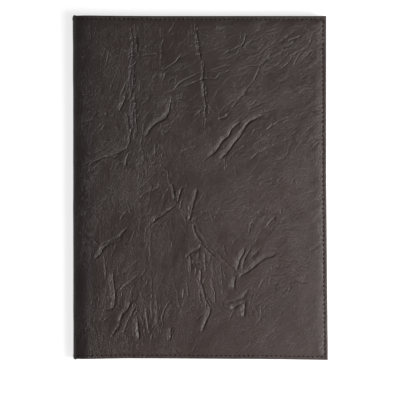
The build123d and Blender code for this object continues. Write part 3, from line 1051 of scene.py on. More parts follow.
def spine_leather(side, material):
    """The back's or the front's half of the leather round the spine."""
    part = np.s_[:, BACK_JOIN : CENTRE + 1] if side == "back" else np.s_[:, CENTRE : FRONT_JOIN + 1]
    shell = Shell()
    outside = shell.add(HIDE[part])
    shell.grid(outside)
    from_end, depth = np.array(SPINE_END_ROWS).T
    heights = np.concatenate([from_end - HEAD, (HEAD - from_end)[::-1]])
    depths = np.concatenate([depth, depth[::-1]])
    inside = shell.add(settle(form(RUN_LINES[None, part[1]], heights[:, None], 0, depths[:, None])[0]))
    shell.grid(inside, True)
    shell.strip(outside[0], inside[0])
    shell.strip(outside[-1, ::-1], inside[-1, ::-1])
    shell.cap(np.concatenate([outside[:, 0], inside[::-1, 0]]))
    shell.cap(np.concatenate([outside[:, -1], inside[::-1, -1]]), True)
    pins = [(outside[:, end], HIDE_NORMALS[part][:, end]) for end in (0, -1)]
    piece = shell.build(f"spine_leather_{side}_half", material, "crinkled_leather", pins, part)
    bend(piece, side)
    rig.replaces(piece, "spine_outer_leather")


# The lining's way down from the board to the spine, as distances before the board's edge: what shows of it,
# and its hidden side
LINING_STEP = (1.5, 1.2, 1.0, 0.85, 0.7, 0.55, 0.4, 0.2)
LINING_STEP_UNDER = (1.5, 0.9, 0.5, 0.2, 0.04, 0.03, 0.02, 0.0)
LINING_GRID = 6.0
LINING_MARGIN = HEM_WIDTH + 1.5
LINING_ROUND = 0.3
# Where it goes down from the hem to the board, and its slack, as heights and sizes, away from its edge
HEM_STEP = (HEM_WIDTH - 0.6, HEM_WIDTH + 1.4)
LINING_SLACK = ((0.05, 24), (0.02, 7))
LINING_SLACK_OVER = (1, 12)
# The thin layers inside the spine: columns of a half, and how far in from an end the long rows start
SHEET_COLUMNS = 17
SHEET_MARGIN = 20


def spine_level(x, depth):
    """The level of a layer of the spine at a place x, and beyond the spine its level there."""
    share = np.clip((BOARD_START - x) / (SPINE_REACH - depth), 0, 1)
    return MIDDLE - (MIDDLE - depth) * np.sqrt(1 - share**2)


def lining_level(x, y, level, depth, step):
    """The level of a side of the lining: over the turned-in margins, on the board and down to the spine."""
    inset = np.minimum(FORE_EDGE - x, HEAD - np.abs(y))
    on_board = level + TURN_IN * (1 - smooth(*HEM_STEP, inset))
    low = spine_level(x, depth)
    return low + (on_board - low) * smooth(BOARD_START - step[0], BOARD_START - step[1], x)


def lining_face(x, y):
    """The level of the lining's showing side."""
    slack = sum(high * gradient_noise(x, y, size, 61 + i) for i, (high, size) in enumerate(LINING_SLACK))
    edge = np.minimum(LINING_END - x, LINING_HEAD - np.abs(y))
    level = lining_level(x, y, CENTRE_LEVEL, SPINE_LINING, (0.95, 0.45))
    return level + slack * smooth(*LINING_SLACK_OVER, edge) - rounding(edge, LINING_ROUND)


def cover_lining(side, material):
    """A cover's lining, from its three sewn edges to where it goes down into the spine."""
    lines = lines_to_edge(BOARD_START + 0.3, LINING_END, LINING_GRID, LINING_MARGIN)
    y = height_lines(LINING_HEAD, LINING_GRID, LINING_MARGIN)[:, None]
    shell = Shell()
    x = np.concatenate([BOARD_START - np.array(LINING_STEP), lines])[None, :]
    face = shell.add(laid(x, y, lining_face(x, y), side))
    x = np.concatenate([BOARD_START - np.array(LINING_STEP_UNDER), lines])[None, :]
    under = shell.add(laid(x, y, lining_level(x, y, CORE, SPINE_MARGIN, (0.04, 0.0)), side))
    shell.sandwich(face, under, side == "front")
    piece = shell.build(f"{side}_cover_lining", material, "lining")
    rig.ride(piece, f"{side}_cover")
    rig.replaces(piece, f"{side}_lining")
    flat = (LINING_END - BOARD_START + LINING_STEP[0] + CENTRE_LEVEL - SPINE_LINING, 2 * LINING_HEAD)
    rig.sheet(piece, flat=[size * MM for size in flat], held="stretched", rests_on=[f"{side}_board"])


def middle_run(places):
    """The length of the middle row of a layer's places."""
    return np.linalg.norm(np.diff(places[len(places) // 2], axis=0), axis=1).sum()


def spine_sheet(name, side, depths, half_height, reach, material, slot, nodes):
    """Half of a thin layer inside the spine, from its outermost line to a place before the board's edge."""
    ends = np.array([0, LINING_ROUND / 2, LINING_ROUND, SHEET_MARGIN])
    heights = np.concatenate([ends - half_height, (half_height - ends)[::-1]])[:, None]
    thinned = np.concatenate([rounding(ends, LINING_ROUND), rounding(ends, LINING_ROUND)[::-1]])[:, None]
    share = np.linspace(*((-1, 0) if side == "back" else (0, 1)), SHEET_COLUMNS)
    shell = Shell()
    faces, pins, widths = [], [], []
    for depth, thinning, outward in zip(depths, (0 * thinned, thinned), (1, -1)):
        angle = np.abs(share) * math.acos(reach / (SPINE_REACH - depth))
        run = np.sign(share) * np.interp(angle, ANGLES, CURVE_RUN)
        places, out = form(run[None, :], heights, 0, depth - thinning)
        places = settle(places)
        widths.append(middle_run(places))
        faces.append(shell.add(places))
        pins += [(faces[-1][:, end], outward * out[:, end]) for end in (0, -1)]
    shell.sandwich(*faces)
    piece = shell.build(f"{name}_{side}_half", material, slot, pins)
    bend(piece, side)
    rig.replaces(piece, *nodes)
    flat = (sum(widths) / 2, 2 * half_height)
    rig.sheet(piece, flat=[size * MM for size in flat], held="stretched")


# A corner tab from the middle of its face round its edge to its underside, as insets and as heights above
# the underside
TAB_RINGS = (
    (13, 0.85), (10, 0.88), (7, 0.88), (4.5, 0.84), (3.2, 0.80), (2.5, 0.76), (2.0, 0.73), (1.5, 0.77),
    (0.9, 0.80), (0.4, 0.79), (0.15, 0.70), (0.03, 0.52), (0, 0.3), (0.05, 0), (2.9, 0), (3.1, 0),
)
TAB_EDGE_STEP = 2.0
# The slack of its face, as height and size, and the height from which it counts
TAB_SLACK = (0.03, 9)
TAB_FACE_START = 0.75
# For the seam: how softly the tab's edge steps up, and how far its face lies below the tab's box
TAB_EDGE_BLEND = 0.4
TAB_FACE_DROP = 0.07


def tab_corners():
    """The four corners of a cover: name, right angle and the directions of the tab's two legs."""
    for end, sign in (("head", 1), ("tail", -1)):
        yield f"{end}_fore", (TAB_END, sign * LINING_HEAD), (-1, -sign)
        yield f"{end}_spine", (SPINE_TAB_START, sign * LINING_HEAD), (1, -sign)


def corner_tab(side, name, corner, legs, material):
    """One corner tab: a soft-edged triangle, with a foot where the lining goes down to the spine."""
    corner = np.array(corner)
    far = corner + [legs[0] * TAB_LEG, 0]
    high = corner + [0, legs[1] * TAB_LEG]
    radius = TAB_LEG * (1 - math.sqrt(0.5))
    middle = corner + np.array(legs) * radius
    outline = []
    for begin, end in ((corner, far), (far, high), (high, corner)):
        count = round(math.dist(begin, end) / TAB_EDGE_STEP)
        outline += [begin + (end - begin) * number / count for number in range(count)]
    outline = np.array(outline)
    flip = (legs[0] * legs[1] < 0) != (side == "front")
    shell = Shell()

    def ring(inset, height):
        x, y = (middle + (outline - middle) * (1 - inset / radius)).T
        slack, size = TAB_SLACK
        slack = slack * gradient_noise(x, y, size, 70) * (height > TAB_FACE_START)
        level = MARGIN_LEVEL + height + slack
        if height == 0 and inset < TAB_FOOT and name.endswith("spine"):
            on_foot = (x < SPINE_TAB_START + TAB_FOOT) & (np.abs(y) < HEAD - HEM_WIDTH - LINING)
            level = np.where(on_foot, CENTRE_LEVEL, level)
        numbers = shell.add(laid(x, y, level, side))
        return np.append(numbers, numbers[0])

    rings = [ring(inset, height) for inset, height in TAB_RINGS]
    centre = shell.add(laid(*middle, MARGIN_LEVEL + TAB_RINGS[0][1], side))
    for a, b in zip(rings[0], rings[0][1:]):
        shell.cap([int(centre), a, b], flip)
    for a, b in zip(rings, rings[1:]):
        shell.strip(a, b, flip)
    shell.cap(rings[-1][:-1], not flip)
    piece = shell.build(f"{side}_corner_tab_{name}", material, "tab_leather")
    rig.ride(piece, f"{side}_cover")
    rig.replaces(piece, f"{side}_tab_{name}")


# A stitch: stations along it from one end to the other, its radius in the middle and its facets; and how far
# its two plies turn and stand out
STITCH_STATIONS = np.array([-1, -0.82, -0.45, 0, 0.45, 0.82, 1])
STITCH_RADIUS = 0.62
STITCH_SIDES = 8
PLY_TWIST = 2.4
PLY_SWELL = 0.13
# From one stitch to the next: the shares of the way between their holes, the slants and the sizes
STITCH_SHARES = (0.80, 0.90)
STITCH_SLANT = 0.05
STITCH_SIZES = (0.92, 1.06)
# Stitches inside the spine are pulled flat, so that they bend with it
SPINE_SLIMNESS = 0.6
# A stitch nearer to the board than this stays with the cover, which hardly moves there
STITCH_ROOT = 6.0


def stitches(name, begins, middles, ends, normals, material, seed, slimness=1.0):
    """A row of two-ply stitches, each from a needle hole over the surface to the next one."""
    rng = np.random.default_rng(seed)
    shell = Shell()
    angles = np.arange(STITCH_SIDES) * 2 * math.pi / STITCH_SIDES
    bulge = np.abs(STITCH_STATIONS) ** 3
    sizes = np.broadcast_to(slimness, len(begins)) * STITCH_RADIUS
    for begin, middle, end, normal, size in zip(begins, middles, ends, normals, sizes):
        share = rng.uniform(*STITCH_SHARES)
        along = (end - begin) / 2 * share
        bow = ((begin + end) / 2 - middle) * share**2
        side = np.cross(normal, along)
        side /= np.linalg.norm(side)
        along = along + side * rng.normal(0, STITCH_SLANT)
        radius = size * (1 - 0.5 * bulge) * rng.uniform(*STITCH_SIZES)
        lift = size * (0.1 - 1.1 * bulge)
        twist = angles[None, :] - PLY_TWIST * STITCH_STATIONS[:, None] + rng.uniform(0, 6)
        ply = radius[:, None] * (1 + PLY_SWELL * np.cos(2 * twist))
        places = middle + STITCH_STATIONS[:, None] * along + STITCH_STATIONS[:, None] ** 2 * bow
        places += lift[:, None] * normal
        around = np.cos(angles)[:, None] * normal * 0.9 + np.sin(angles)[:, None] * side
        numbers = shell.add(places[:, None] + ply[..., None] * around[None])
        shell.grid(np.concatenate([numbers, numbers[:, :1]], 1), True)
        shell.cap(numbers[0])
        shell.cap(numbers[-1], True)
    return shell.build(name, material, "thread")


def run_at(x):
    """The distance along the hide from the spine's outermost line, for a place x."""
    angle = np.arccos(np.clip((BOARD_START - x) / SPINE_REACH, 0, 1))
    return np.where(x > BOARD_START, x - APEX, np.interp(angle, ANGLES, CURVE_RUN))


def outside_face(side):
    """The hide's outer surface over a place (x, y)."""
    sign = -1 if side == "back" else 1
    return lambda x, y: settle(skin(sign * run_at(x), y))


def inside_face(side):
    """The showing surface inside a cover, its tabs included, over a place (x, y)."""

    def face(x, y):
        level = lining_face(x, y)
        for _, corner, legs in tab_corners():
            along, up = (x - corner[0]) * legs[0], (y - corner[1]) * legs[1]
            on_tab = smooth(-TAB_EDGE_BLEND, TAB_EDGE_BLEND, along)
            on_tab *= smooth(-TAB_EDGE_BLEND, TAB_EDGE_BLEND, TAB_LEG - along - up)
            level = level + on_tab * (up > -1) * (TAB_LEVEL - MARGIN_LEVEL - TAB_FACE_DROP)
        return laid(x, y, level, side)

    return face


def stitches_between(begin, end):
    """Both ends of evenly spaced stitches from one place to another."""
    begin, end = np.array(begin), np.array(end)
    run = np.linalg.norm(end - begin)
    count = round(run / STITCH_PITCH)
    gap = STITCH_GAP / 2 * count / run
    first = (np.arange(count) + gap) / count
    last = (np.arange(1, count + 1) - gap) / count
    return [begin + (end - begin) * share[:, None] for share in (first, last)]


def seam_places():
    """The ends of the stitches along the head, the fore-edge and the tail."""
    y = HEAD - SEAM_INSET
    x = FORE_EDGE - SEAM_INSET
    start = SEAM_START - STITCH_GAP / 2
    runs = [((start, y), (x, y)), ((x, y), (x, -y)), ((x, -y), (start, -y))]
    rows = [stitches_between(*run) for run in runs]
    return [np.concatenate(ends) for ends in zip(*rows)]


def hem_places():
    """The ends of the stitches along the free edges of a cover's tabs."""
    end = SEAM_INSET - LINING_INSET + TAB_HEM_INSET
    reach = TAB_LEG - TAB_HEM_INSET * math.sqrt(2) - end
    rows = []
    for _, (x, y), (across, up) in tab_corners():
        rows.append(stitches_between((x + across * reach, y + up * end), (x + across * end, y + up * reach)))
    return [np.concatenate(ends) for ends in zip(*rows)]


def on_surface(face, places, outward):
    """Both ends and the middle of each stitch laid on a surface, and the outward direction there."""
    begins, ends = [face(*place.T) for place in places]
    x, y = ((places[0] + places[1]) / 2).T
    middles = face(x, y)
    across = face(x + 0.3, y) - face(x - 0.3, y)
    up = face(x, y + 0.3) - face(x, y - 0.3)
    normals = np.cross(across, up) * outward
    return begins, middles, ends, normals / np.linalg.norm(normals, axis=1, keepdims=True)


def sewing(side, material):
    """A cover's seam inside and outside, and the hems of its tabs.

    Stitches well beyond the board bend with the spine.
    """
    sign = -1 if side == "back" else 1
    spine_rows = []
    slimness = []
    for row, face, outward, size, seed in (
        ("outside", outside_face(side), sign, 1.0, 80),
        ("inside", inside_face(side), -sign, SPINE_SLIMNESS, 81),
    ):
        rows = on_surface(face, seam_places(), outward)
        on_spine = np.maximum(rows[0][:, 0], rows[2][:, 0]) < BOARD_START - STITCH_ROOT
        spine_rows.append([part[on_spine] for part in rows])
        slimness += [size] * int(on_spine.sum())
        name = f"{side}_seam_stitches_{row}"
        piece = stitches(name, *[part[~on_spine] for part in rows], material, seed)
        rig.ride(piece, f"{side}_cover")
        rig.replaces(piece, f"{side}_seam_thread_{row}")
    rows = [np.concatenate(parts) for parts in zip(*spine_rows)]
    piece = stitches(f"spine_stitches_{side}_half", *rows, material, 83, slimness)
    bend(piece, side)
    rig.replaces(piece, f"{side}_seam_thread_outside", f"{side}_seam_thread_inside")
    rows = on_surface(inside_face(side), hem_places(), -sign)
    piece = stitches(f"{side}_tab_hem_stitches", *rows, material, 84)
    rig.ride(piece, f"{side}_cover")
    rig.replaces(piece, f"{side}_tab_hem_thread")


def spine_end_stitches(material):
    """The stitch round the spine's outermost line, at the head and at the tail."""
    half = (STITCH_PITCH - STITCH_GAP) / 2
    y = np.array([HEAD - SEAM_INSET, SEAM_INSET - HEAD])
    places = [settle(skin(np.full(2, run), y)) for run in (-half, 0.0, half)]
    normals = np.array([[-1.0, 0, 0], [-1.0, 0, 0]])
    piece = stitches("spine_end_stitches", *places, normals, material, 85)
    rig.ride(piece, "spine")
    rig.replaces(piece, "spine_seam_thread")


def add(tree, kind, inputs=(), **settings):
    """A node with its settings and with values or links for its inputs."""
    node = tree.nodes.new("ShaderNode" + kind)
    for key, value in settings.items():
        setattr(node, key, value)
    for key, value in dict(inputs).items():
        if isinstance(value, bpy.types.NodeSocket):
            tree.links.new(value, node.inputs[key])
        else:
            node.inputs[key].default_value = value
    return node


def calculated(tree, operation, *values):
    """One step of arithmetic with values."""
    return add(tree, "Math", dict(enumerate(values)), operation=operation).outputs[0]


def new_material(name):
    """An empty material with its tree and shader."""
    material = bpy.data.materials.new(name)
    material.use_nodes = True
    return material, material.node_tree, material.node_tree.nodes["Principled BSDF"]


def finished(tree, shader, colour, roughness):
    """The shader takes its colour and its roughness from nodes."""
    tree.links.new(colour, shader.inputs["Base Color"])
    tree.links.new(roughness, shader.inputs["Roughness"])


def rest_places(tree):
    """The point's place at rest, in millimetres."""
    return add(tree, "Attribute", attribute_name="rest").outputs["Vector"]


def node_places(tree):
    """The place in a frame node, which keeps its mesh, in millimetres."""
    place = add(tree, "TexCoord").outputs["Object"]
    return add(tree, "VectorMath", {0: place, "Scale": 1 / MM}, operation="SCALE").outputs[0]


def noise(tree, places, size, detail=2.0, roughness=0.5):
    """Noise with features of a size in millimetres."""
    inputs = {"Vector": places, "Scale": 1 / size, "Detail": detail, "Roughness": roughness}
    return add(tree, "TexNoise", inputs).outputs["Fac"]


def ranged(tree, value, low, high, to_low=0.0, to_high=1.0):
    """A value taken from one range to another."""
    inputs = {"Value": value, "From Min": low, "From Max": high, "To Min": to_low, "To Max": to_high}
    return add(tree, "MapRange", inputs).outputs["Result"]


def mixed(tree, share, a, b):
    """Two colours mixed."""
    colours = [value if isinstance(value, bpy.types.NodeSocket) else (*value, 1) for value in (a, b)]
    return add(tree, "Mix", {0: share, 6: colours[0], 7: colours[1]}, data_type="RGBA").outputs[2]


def sum_of(tree, *terms):
    """The sum of values, each times its weight."""
    total = 0.0
    for value, weight in terms:
        total = calculated(tree, "MULTIPLY_ADD", value, weight, total)
    return total


def raised(tree, shader, height, depth):
    """A bump from a height of 0 to 1, which stands for a depth in millimetres."""
    bump = add(tree, "Bump", {"Height": height, "Distance": depth * MM, "Strength": 1.0})
    tree.links.new(bump.outputs["Normal"], shader.inputs["Normal"])


def shifted(tree, places, size, reach):
    """Places pushed about by noise of a size, up to about half a reach."""
    push = add(tree, "TexNoise", {"Vector": places, "Scale": 1 / size, "Detail": 2.0}).outputs["Color"]
    inputs = {0: push, 1: (reach, reach, reach), 2: places}
    return add(tree, "VectorMath", inputs, operation="MULTIPLY_ADD").outputs[0]


def cells(tree, places, size):
    """How far a place is from the edge of its cell, with cells of a size."""
    inputs = {"Vector": places, "Scale": 1 / size}
    return add(tree, "TexVoronoi", inputs, feature="DISTANCE_TO_EDGE").outputs["Distance"]


def mixed_value(tree, share, a, b):
    """Two values mixed."""
    return add(tree, "Mix", {0: share, 2: a, 3: b}, data_type="FLOAT").outputs[0]


def drawn_out(tree, places, angle, stretch, size):
    """Noise drawn out along an angle."""
    inputs = {"Vector": places, "Rotation": (0, 0, math.radians(angle)), "Scale": (stretch, 1, 1)}
    return noise(tree, add(tree, "Mapping", inputs, vector_type="TEXTURE").outputs[0], size, 4.0, 0.6)


def lines(tree, places, angle, stretch, size):
    """Fine wandering lines along an angle: 0 on a line, 1 away from it."""
    level = drawn_out(tree, places, angle, stretch, size)
    away = calculated(tree, "ABSOLUTE", calculated(tree, "SUBTRACT", level, 0.5))
    return ranged(tree, away, 0.0, 0.06)


def product(tree, a, b):
    """Two values multiplied."""
    return calculated(tree, "MULTIPLY", a, b)


def crack(tree, layer, roughly, width):
    """The sharp bottom of the nearest crease of a layer, from its marks: 0 away from it, its depth on it."""
    marks = add(tree, "Attribute", attribute_name=layer).outputs["Vector"]
    marks = add(tree, "SeparateXYZ", {0: marks}).outputs
    away = calculated(tree, "MULTIPLY_ADD", roughly, CRACK_WANDER, marks["X"])
    power = product(tree, product(tree, away, away), -1 / width**2)
    return product(tree, calculated(tree, "EXPONENT", power), marks["Y"])


# The sharp bottom of a crease: its half width and how far it strays, and in millimetres the depths of the
# leather's fine lines, of its soft creasing, of its grain and of its pores
CRACK_WIDTH = 0.55
CRACK_WANDER = 0.5
LINE_DEPTH = 0.12
CREASING_DEPTH = 0.27
GRAIN_DEPTH = 0.045
PORE_DEPTH = 0.04
# Fine lines and soft creasing, each by the spine and by the fore-edge, and the lines that cross them: angle,
# how drawn out, and size
FINE_LINES = ((80, 3.0, 2.4), (36, 4.0, 2.4))
SOFT_CREASING = ((78, 1.7, 1.8), (36, 2.3, 1.8))
CROSSING_LINES = (8, 4.0, 3.0)
CROSSING_SHARE = 0.6
# How much darker the dye is in the grain's valleys, and how dark the painted shade by the spine is and by what share
VALLEY_DYE = 0.5
SPINE_SHADE_DARKNESS = 0.35
SPINE_SHADE_SHARE = 0.56
# The sides of deep creases are polished: how far from them, and how much of the roughness goes
POLISH_WIDTH = 1.9
POLISH = 0.1
# The dye is redder towards the tail of the fore-edge: by how much, from where to where along that diagonal,
# and how far that strays
REDDENED = (1.04, 0.915, 0.875)
REDDENED_OVER = (-70, 130)
REDDENED_STRAY = 70


def leather_material(name, dark, light, rubbed, grain_size, creased, roughness):
    """Leather: grain with pores, fine lines, soft creasing, uneven dye, painted shade by the spine, and edges that are
    rubbed.
    """
    material, tree, shader = new_material(name)
    places = rest_places(tree)
    pushed = shifted(tree, places, 18, 5.0)
    where = add(tree, "SeparateXYZ", {0: pushed}).outputs
    grain = ranged(tree, cells(tree, shifted(tree, places, 0.8, 1.0), grain_size), 0.0, 0.22)
    roughly = calculated(tree, "SUBTRACT", noise(tree, places, 1.3, 2.0), 0.5)
    cracked = sum_of(tree, *[(crack(tree, layer, roughly, CRACK_WIDTH), 1.0) for layer in CRACK_LAYERS])
    broken = ranged(tree, noise(tree, places, 3.5, 2.0), 0.35, 0.6, 0.35, 1.2)
    strewn = ranged(tree, noise(tree, places, 28, 2.0), 0.4, 0.6, 0.5, 1.0)
    leaning = ranged(tree, where["X"], -45, 45)
    fine = mixed_value(tree, leaning, *[lines(tree, pushed, *way) for way in FINE_LINES])
    crossing = lines(tree, pushed, *CROSSING_LINES)
    creasing = mixed_value(tree, leaning, *[drawn_out(tree, pushed, *way) for way in SOFT_CREASING])
    height = sum_of(
        tree,
        (product(tree, cracked, broken), -1.0),
        (product(tree, fine, strewn), LINE_DEPTH * creased),
        (product(tree, crossing, strewn), CROSSING_SHARE * LINE_DEPTH * creased),
        (creasing, CREASING_DEPTH * creased),
        (grain, GRAIN_DEPTH),
        (noise(tree, places, 0.4, 1.0), PORE_DEPTH),
    )
    raised(tree, shader, height, 1.0)
    dye = sum_of(tree, (noise(tree, places, 26, 3.0), 0.6), (noise(tree, places, 4, 3.0), 0.4))
    diagonal = calculated(tree, "SUBTRACT", where["X"], where["Y"])
    diagonal = sum_of(tree, (diagonal, 1.0), (noise(tree, places, 45, 2.0), REDDENED_STRAY))
    redder = ranged(tree, diagonal, *REDDENED_OVER, 0.0, creased)
    tones = []
    for tone in (dark, light):
        red_tone = [part * share for part, share in zip(tone, REDDENED)]
        tones.append(mixed(tree, redder, tone, red_tone))
    colour = mixed(tree, ranged(tree, dye, 0.35, 0.65), *tones)
    valley = ranged(tree, grain, 0.0, 0.6, 0.25, 0.0)
    colour = mixed(tree, valley, colour, [value * VALLEY_DYE for value in dark])
    # Painted shade: the colour darkens towards the spine, standing in for the shaded side of the spine's roll
    handled = add(tree, "Attribute", attribute_name="handled").outputs["Fac"]
    handled = product(tree, handled, SPINE_SHADE_SHARE)
    colour = mixed(tree, handled, colour, [value * SPINE_SHADE_DARKNESS for value in dark])
    worn = add(tree, "Attribute", attribute_name="worn").outputs["Fac"]
    patchy = ranged(tree, noise(tree, places, 3, 3.0), 0.3, 0.7, 0.4, 1.0)
    colour = mixed(tree, product(tree, worn, patchy), colour, rubbed)
    rough = ranged(tree, noise(tree, places, 9, 4.0), 0.3, 0.7, roughness - 0.06, roughness + 0.06)
    polished = crack(tree, CRACK_LAYERS[0], roughly, POLISH_WIDTH)
    finished(tree, shader, colour, sum_of(tree, (rough, 1.0), (polished, -POLISH)))
    return material


def thread_material():
    """Waxed thread: fine fibres along the twist, and uneven dye."""
    material, tree, shader = new_material("waxed_thread")
    places = rest_places(tree)
    fibres = noise(tree, places, 0.18, 2.0)
    raised(tree, shader, fibres, 0.05)
    colour = mixed(tree, noise(tree, places, 1.2, 2.0), THREAD_DARK, THREAD_LIGHT)
    finished(tree, shader, colour, ranged(tree, fibres, 0.3, 0.7, 0.6, 0.8))
    shader.inputs["Specular IOR Level"].default_value = 0.25
    return material


def lining_material():
    """Lining cloth with a fine rib and a soft, uneven dye."""
    material, tree, shader = new_material("ribbed_lining")
    places = rest_places(tree)
    squeezed = add(tree, "VectorMath", {0: places, 1: (0.35, 1.6, 0.35)}, operation="MULTIPLY").outputs[0]
    inputs = {"Vector": squeezed, "Scale": 0.2, "Distortion": 1.1, "Detail": 2.0}
    rib = add(tree, "TexWave", inputs, bands_direction="Y").outputs["Fac"]
    fibre = noise(tree, places, 0.3, 2.0)
    slubs = drawn_out(tree, places, 0, 9.0, 1.1)
    raised(tree, shader, sum_of(tree, (rib, 0.10), (slubs, 0.16), (fibre, 0.02)), 1.0)
    dye = sum_of(tree, (noise(tree, places, 18, 3.0), 0.4), (rib, 0.15), (slubs, 0.3), (fibre, 0.15))
    colour = mixed(tree, ranged(tree, dye, 0.3, 0.7), LINING_DARK, LINING_LIGHT)
    finished(tree, shader, colour, ranged(tree, rib, 0.0, 1.0, 0.8, 0.66))
    return material


def woven_material():
    """The cloth of the hinge: warp and weft."""
    material, tree, shader = new_material("hinge_weave")
    places = rest_places(tree)
    warp = add(tree, "TexWave", {"Vector": places, "Scale": 0.6}, bands_direction="Y").outputs["Fac"]
    weft = add(tree, "TexWave", {"Vector": places, "Scale": 0.6}, bands_direction="Z").outputs["Fac"]
    raised(tree, shader, sum_of(tree, (warp, 0.5), (weft, 0.5)), 0.06)
    rough = ranged(tree, noise(tree, places, 2), 0.3, 0.7, 0.75, 0.9)
    finished(tree, shader, mixed(tree, warp, CLOTH_DARK, CLOTH_LIGHT), rough)
    return material


def core_material(name, dark, light, size, depth, roughness):
    """What lies inside a cover: pressed fibres or foam."""
    material, tree, shader = new_material(name)
    places = node_places(tree)
    texture = noise(tree, places, size, 5.0, 0.65)
    raised(tree, shader, texture, depth)
    rough = ranged(tree, texture, 0.3, 0.7, roughness - 0.05, roughness + 0.05)
    finished(tree, shader, mixed(tree, ranged(tree, texture, 0.3, 0.7), dark, light), rough)
    return material


# Colours, in linear light
HIDE_DARK = (0.0345, 0.0227, 0.0203)
HIDE_LIGHT = (0.0500, 0.0341, 0.0312)
HIDE_RUBBED = (0.040, 0.027, 0.020)
TAB_DARK = (0.027, 0.021, 0.019)
TAB_LIGHT = (0.038, 0.030, 0.027)
THREAD_DARK = (0.004, 0.003, 0.0028)
THREAD_LIGHT = (0.010, 0.008, 0.007)
LINING_DARK = (0.020, 0.015, 0.013)
LINING_LIGHT = (0.036, 0.028, 0.024)
CLOTH_DARK = (0.03, 0.03, 0.03)
CLOTH_LIGHT = (0.07, 0.07, 0.068)
BOARD_DARK = (0.20, 0.175, 0.145)
BOARD_LIGHT = (0.34, 0.31, 0.265)
FOAM_DARK = (0.62, 0.60, 0.55)
FOAM_LIGHT = (0.76, 0.74, 0.69)

HIDE_MATERIAL = leather_material("crinkled_calf", HIDE_DARK, HIDE_LIGHT, HIDE_RUBBED, 0.85, 1.0, 0.42)
TAB_MATERIAL = leather_material("smooth_calf", TAB_DARK, TAB_LIGHT, HIDE_RUBBED, 0.7, 0.3, 0.5)
THREAD_MATERIAL = thread_material()
LINING_MATERIAL = lining_material()
CLOTH_MATERIAL = woven_material()
BOARD_MATERIAL = core_material("grey_board", BOARD_DARK, BOARD_LIGHT, 1.4, 0.05, 0.85)
FOAM_MATERIAL = core_material("foam_wadding", FOAM_DARK, FOAM_LIGHT, 0.6, 0.12, 0.9)

for cover in ("back", "front"):
    cover_leather(cover, HIDE_MATERIAL)
    spine_leather(cover, HIDE_MATERIAL)
    cover_lining(cover, LINING_MATERIAL)
    spine_sheet(
        "spine_lining", cover, (SPINE_MARGIN, SPINE_LINING), LINING_HEAD, LINING_STEP[0],
        LINING_MATERIAL, "lining", ["spine_lining"],
    )
    spine_sheet(
        "hinge_cloth", cover, CLOTH, CLOTH_HEAD, 0.0,
        CLOTH_MATERIAL, "hinge_cloth", [f"{cover}_hinge_cloth", "spine_hinge_cloth"],
    )
    for tab_name, tab_corner, tab_legs in tab_corners():
        corner_tab(cover, tab_name, tab_corner, tab_legs, TAB_MATERIAL)
    sewing(cover, THREAD_MATERIAL)
    frame["nodes"][f"{cover}_board"].material_slots[0].material = BOARD_MATERIAL
    frame["nodes"][f"{cover}_wadding"].material_slots[0].material = FOAM_MATERIAL
spine_end_stitches(THREAD_MATERIAL)

# Studio: a floor that curves up at its far rim, by so many degrees in so many steps. What looks at it sees a
# glow as well, a little more far out.
FLOOR_RADIUS = 3.5
FLOOR_RIM = 2.0
FLOOR_REFLECTANCE = 0.5
FLOOR_GLOW_NEAR = 0.76
FLOOR_GLOW_FAR = 0.85
FLOOR_GLOW_OVER = (0.5, 1.8)
FLOOR_SIDES = 64
FLOOR_CURVE = (80, 8)
# The sky is brighter on the side of the lamps
SKY_AWAY = 0.06
SKY_TOWARD = 0.25
SKY_SIDE = (0.86, -0.51, 0.0)
SKY_OVER = (-0.9, 0.9)
# Soft lamps: name, place, size and power
LAMPS = (
    ("soft_lamp", (0.77, -0.26, 0.54), 0.5, 12.2),
    ("fill_lamp", (0.34, -0.84, 0.44), 0.3, 1.2),
)
# The camera's lens and sensor, the photograph's size, and the height at which its pixels have their size
CAMERA_LENS = 100.0
CAMERA_SENSOR = 36.0
PHOTO_PIXELS = 400
PIXEL_LEVEL = 0.0075


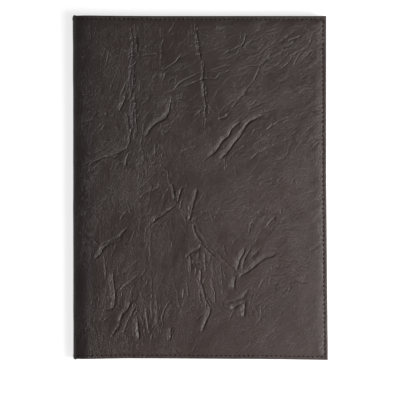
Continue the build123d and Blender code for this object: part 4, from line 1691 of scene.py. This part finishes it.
def studio_floor():
    """A pale floor. What looks at it sees it white but for the object's shadow."""
    profile = [(radius, 0.0) for radius in (0.4, 1.0, 2.0, FLOOR_RADIUS)]
    whole_turn, steps = FLOOR_CURVE
    for step in range(1, steps + 1):
        turn = math.radians(whole_turn) * step / steps
        profile.append((FLOOR_RADIUS + FLOOR_RIM * math.sin(turn), FLOOR_RIM * (1 - math.cos(turn))))
    angles = np.arange(FLOOR_SIDES) * 2 * math.pi / FLOOR_SIDES
    shell = Shell()
    rings = []
    for radius, height in profile:
        x, y = radius * np.cos(angles), radius * np.sin(angles)
        numbers = shell.add(np.stack([x, y, height + 0 * x], -1) / MM)
        rings.append(np.append(numbers, numbers[0]))
    shell.cap(rings[0][:-1])
    for a, b in zip(rings, rings[1:]):
        shell.strip(a, b)
    material, tree, shader = new_material("studio_floor")
    tree.nodes.remove(shader)
    distance = add(tree, "VectorMath", {0: add(tree, "TexCoord").outputs["Object"]}, operation="LENGTH")
    glow = ranged(tree, distance.outputs["Value"], *FLOOR_GLOW_OVER, FLOOR_GLOW_NEAR, FLOOR_GLOW_FAR)
    white = (FLOOR_REFLECTANCE, FLOOR_REFLECTANCE, FLOOR_REFLECTANCE, 1)
    surface = add(tree, "BsdfDiffuse", {"Color": white}).outputs[0]
    glowing = add(tree, "Emission", {"Strength": glow}).outputs[0]
    lit = add(tree, "AddShader", {0: surface, 1: glowing}).outputs[0]
    path = add(tree, "LightPath").outputs
    seen = calculated(tree, "MAXIMUM", path["Is Camera Ray"], path["Is Glossy Ray"])
    seen = calculated(tree, "MAXIMUM", seen, path["Is Transmission Ray"])
    mix = add(tree, "MixShader", {0: seen, 1: surface, 2: lit})
    tree.links.new(mix.outputs[0], tree.nodes["Material Output"].inputs["Surface"])
    mesh = bpy.data.meshes.new("studio_floor")
    mesh.from_pydata((np.concatenate(shell.points) * MM).tolist(), [], shell.faces)
    mesh.shade_smooth()
    mesh.materials.append(material)
    floor = bpy.data.objects.new("studio_floor", mesh)
    bpy.context.scene.collection.objects.link(floor)
    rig.stage(floor)


studio_floor()
world = bpy.data.worlds.new("sky")
world.use_nodes = True
sky_tree = world.node_tree
sky = sky_tree.nodes["Background"]
way = add(sky_tree, "TexCoord").outputs["Generated"]
toward = add(sky_tree, "VectorMath", {0: way, 1: SKY_SIDE}, operation="DOT_PRODUCT").outputs["Value"]
sky_tree.links.new(ranged(sky_tree, toward, *SKY_OVER, SKY_AWAY, SKY_TOWARD), sky.inputs["Strength"])
sky.inputs["Color"].default_value = (1, 1, 1, 1)
bpy.context.scene.world = world

for lamp_name, lamp_place, lamp_size, lamp_power in LAMPS:
    lamp = bpy.data.objects.new(lamp_name, bpy.data.lights.new(lamp_name, "AREA"))
    lamp.data.shape = "DISK"
    lamp.data.size = lamp_size
    lamp.data.energy = lamp_power
    lamp.location = lamp_place
    lamp.visible_camera = False
    lamp.rotation_mode = "QUATERNION"
    lamp.rotation_quaternion = lamp.location.to_track_quat("Z", "Y")
    bpy.context.scene.collection.objects.link(lamp)

camera = bpy.data.objects.new("camera", bpy.data.cameras.new("camera"))
camera.data.lens = CAMERA_LENS
camera.data.sensor_width = CAMERA_SENSOR
camera.data.clip_start = 0.01
away = PHOTO_PIXELS * PIXEL * MM * CAMERA_LENS / CAMERA_SENSOR
camera.location = (
    (PHOTO_PIXELS / 2 - PHOTO_CENTRE[0]) * PIXEL * MM,
    (PHOTO_CENTRE[1] - PHOTO_PIXELS / 2) * PIXEL * MM,
    away + PIXEL_LEVEL,
)
bpy.context.scene.collection.objects.link(camera)
bpy.context.scene.camera = camera
bpy.context.scene.view_settings.view_transform = "Standard"

shown_box = [list(corner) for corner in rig.bounds()]
with open("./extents.json", "w") as size_file:
    json.dump({"cad": CAD_BOX, "visual": shown_box}, size_file)
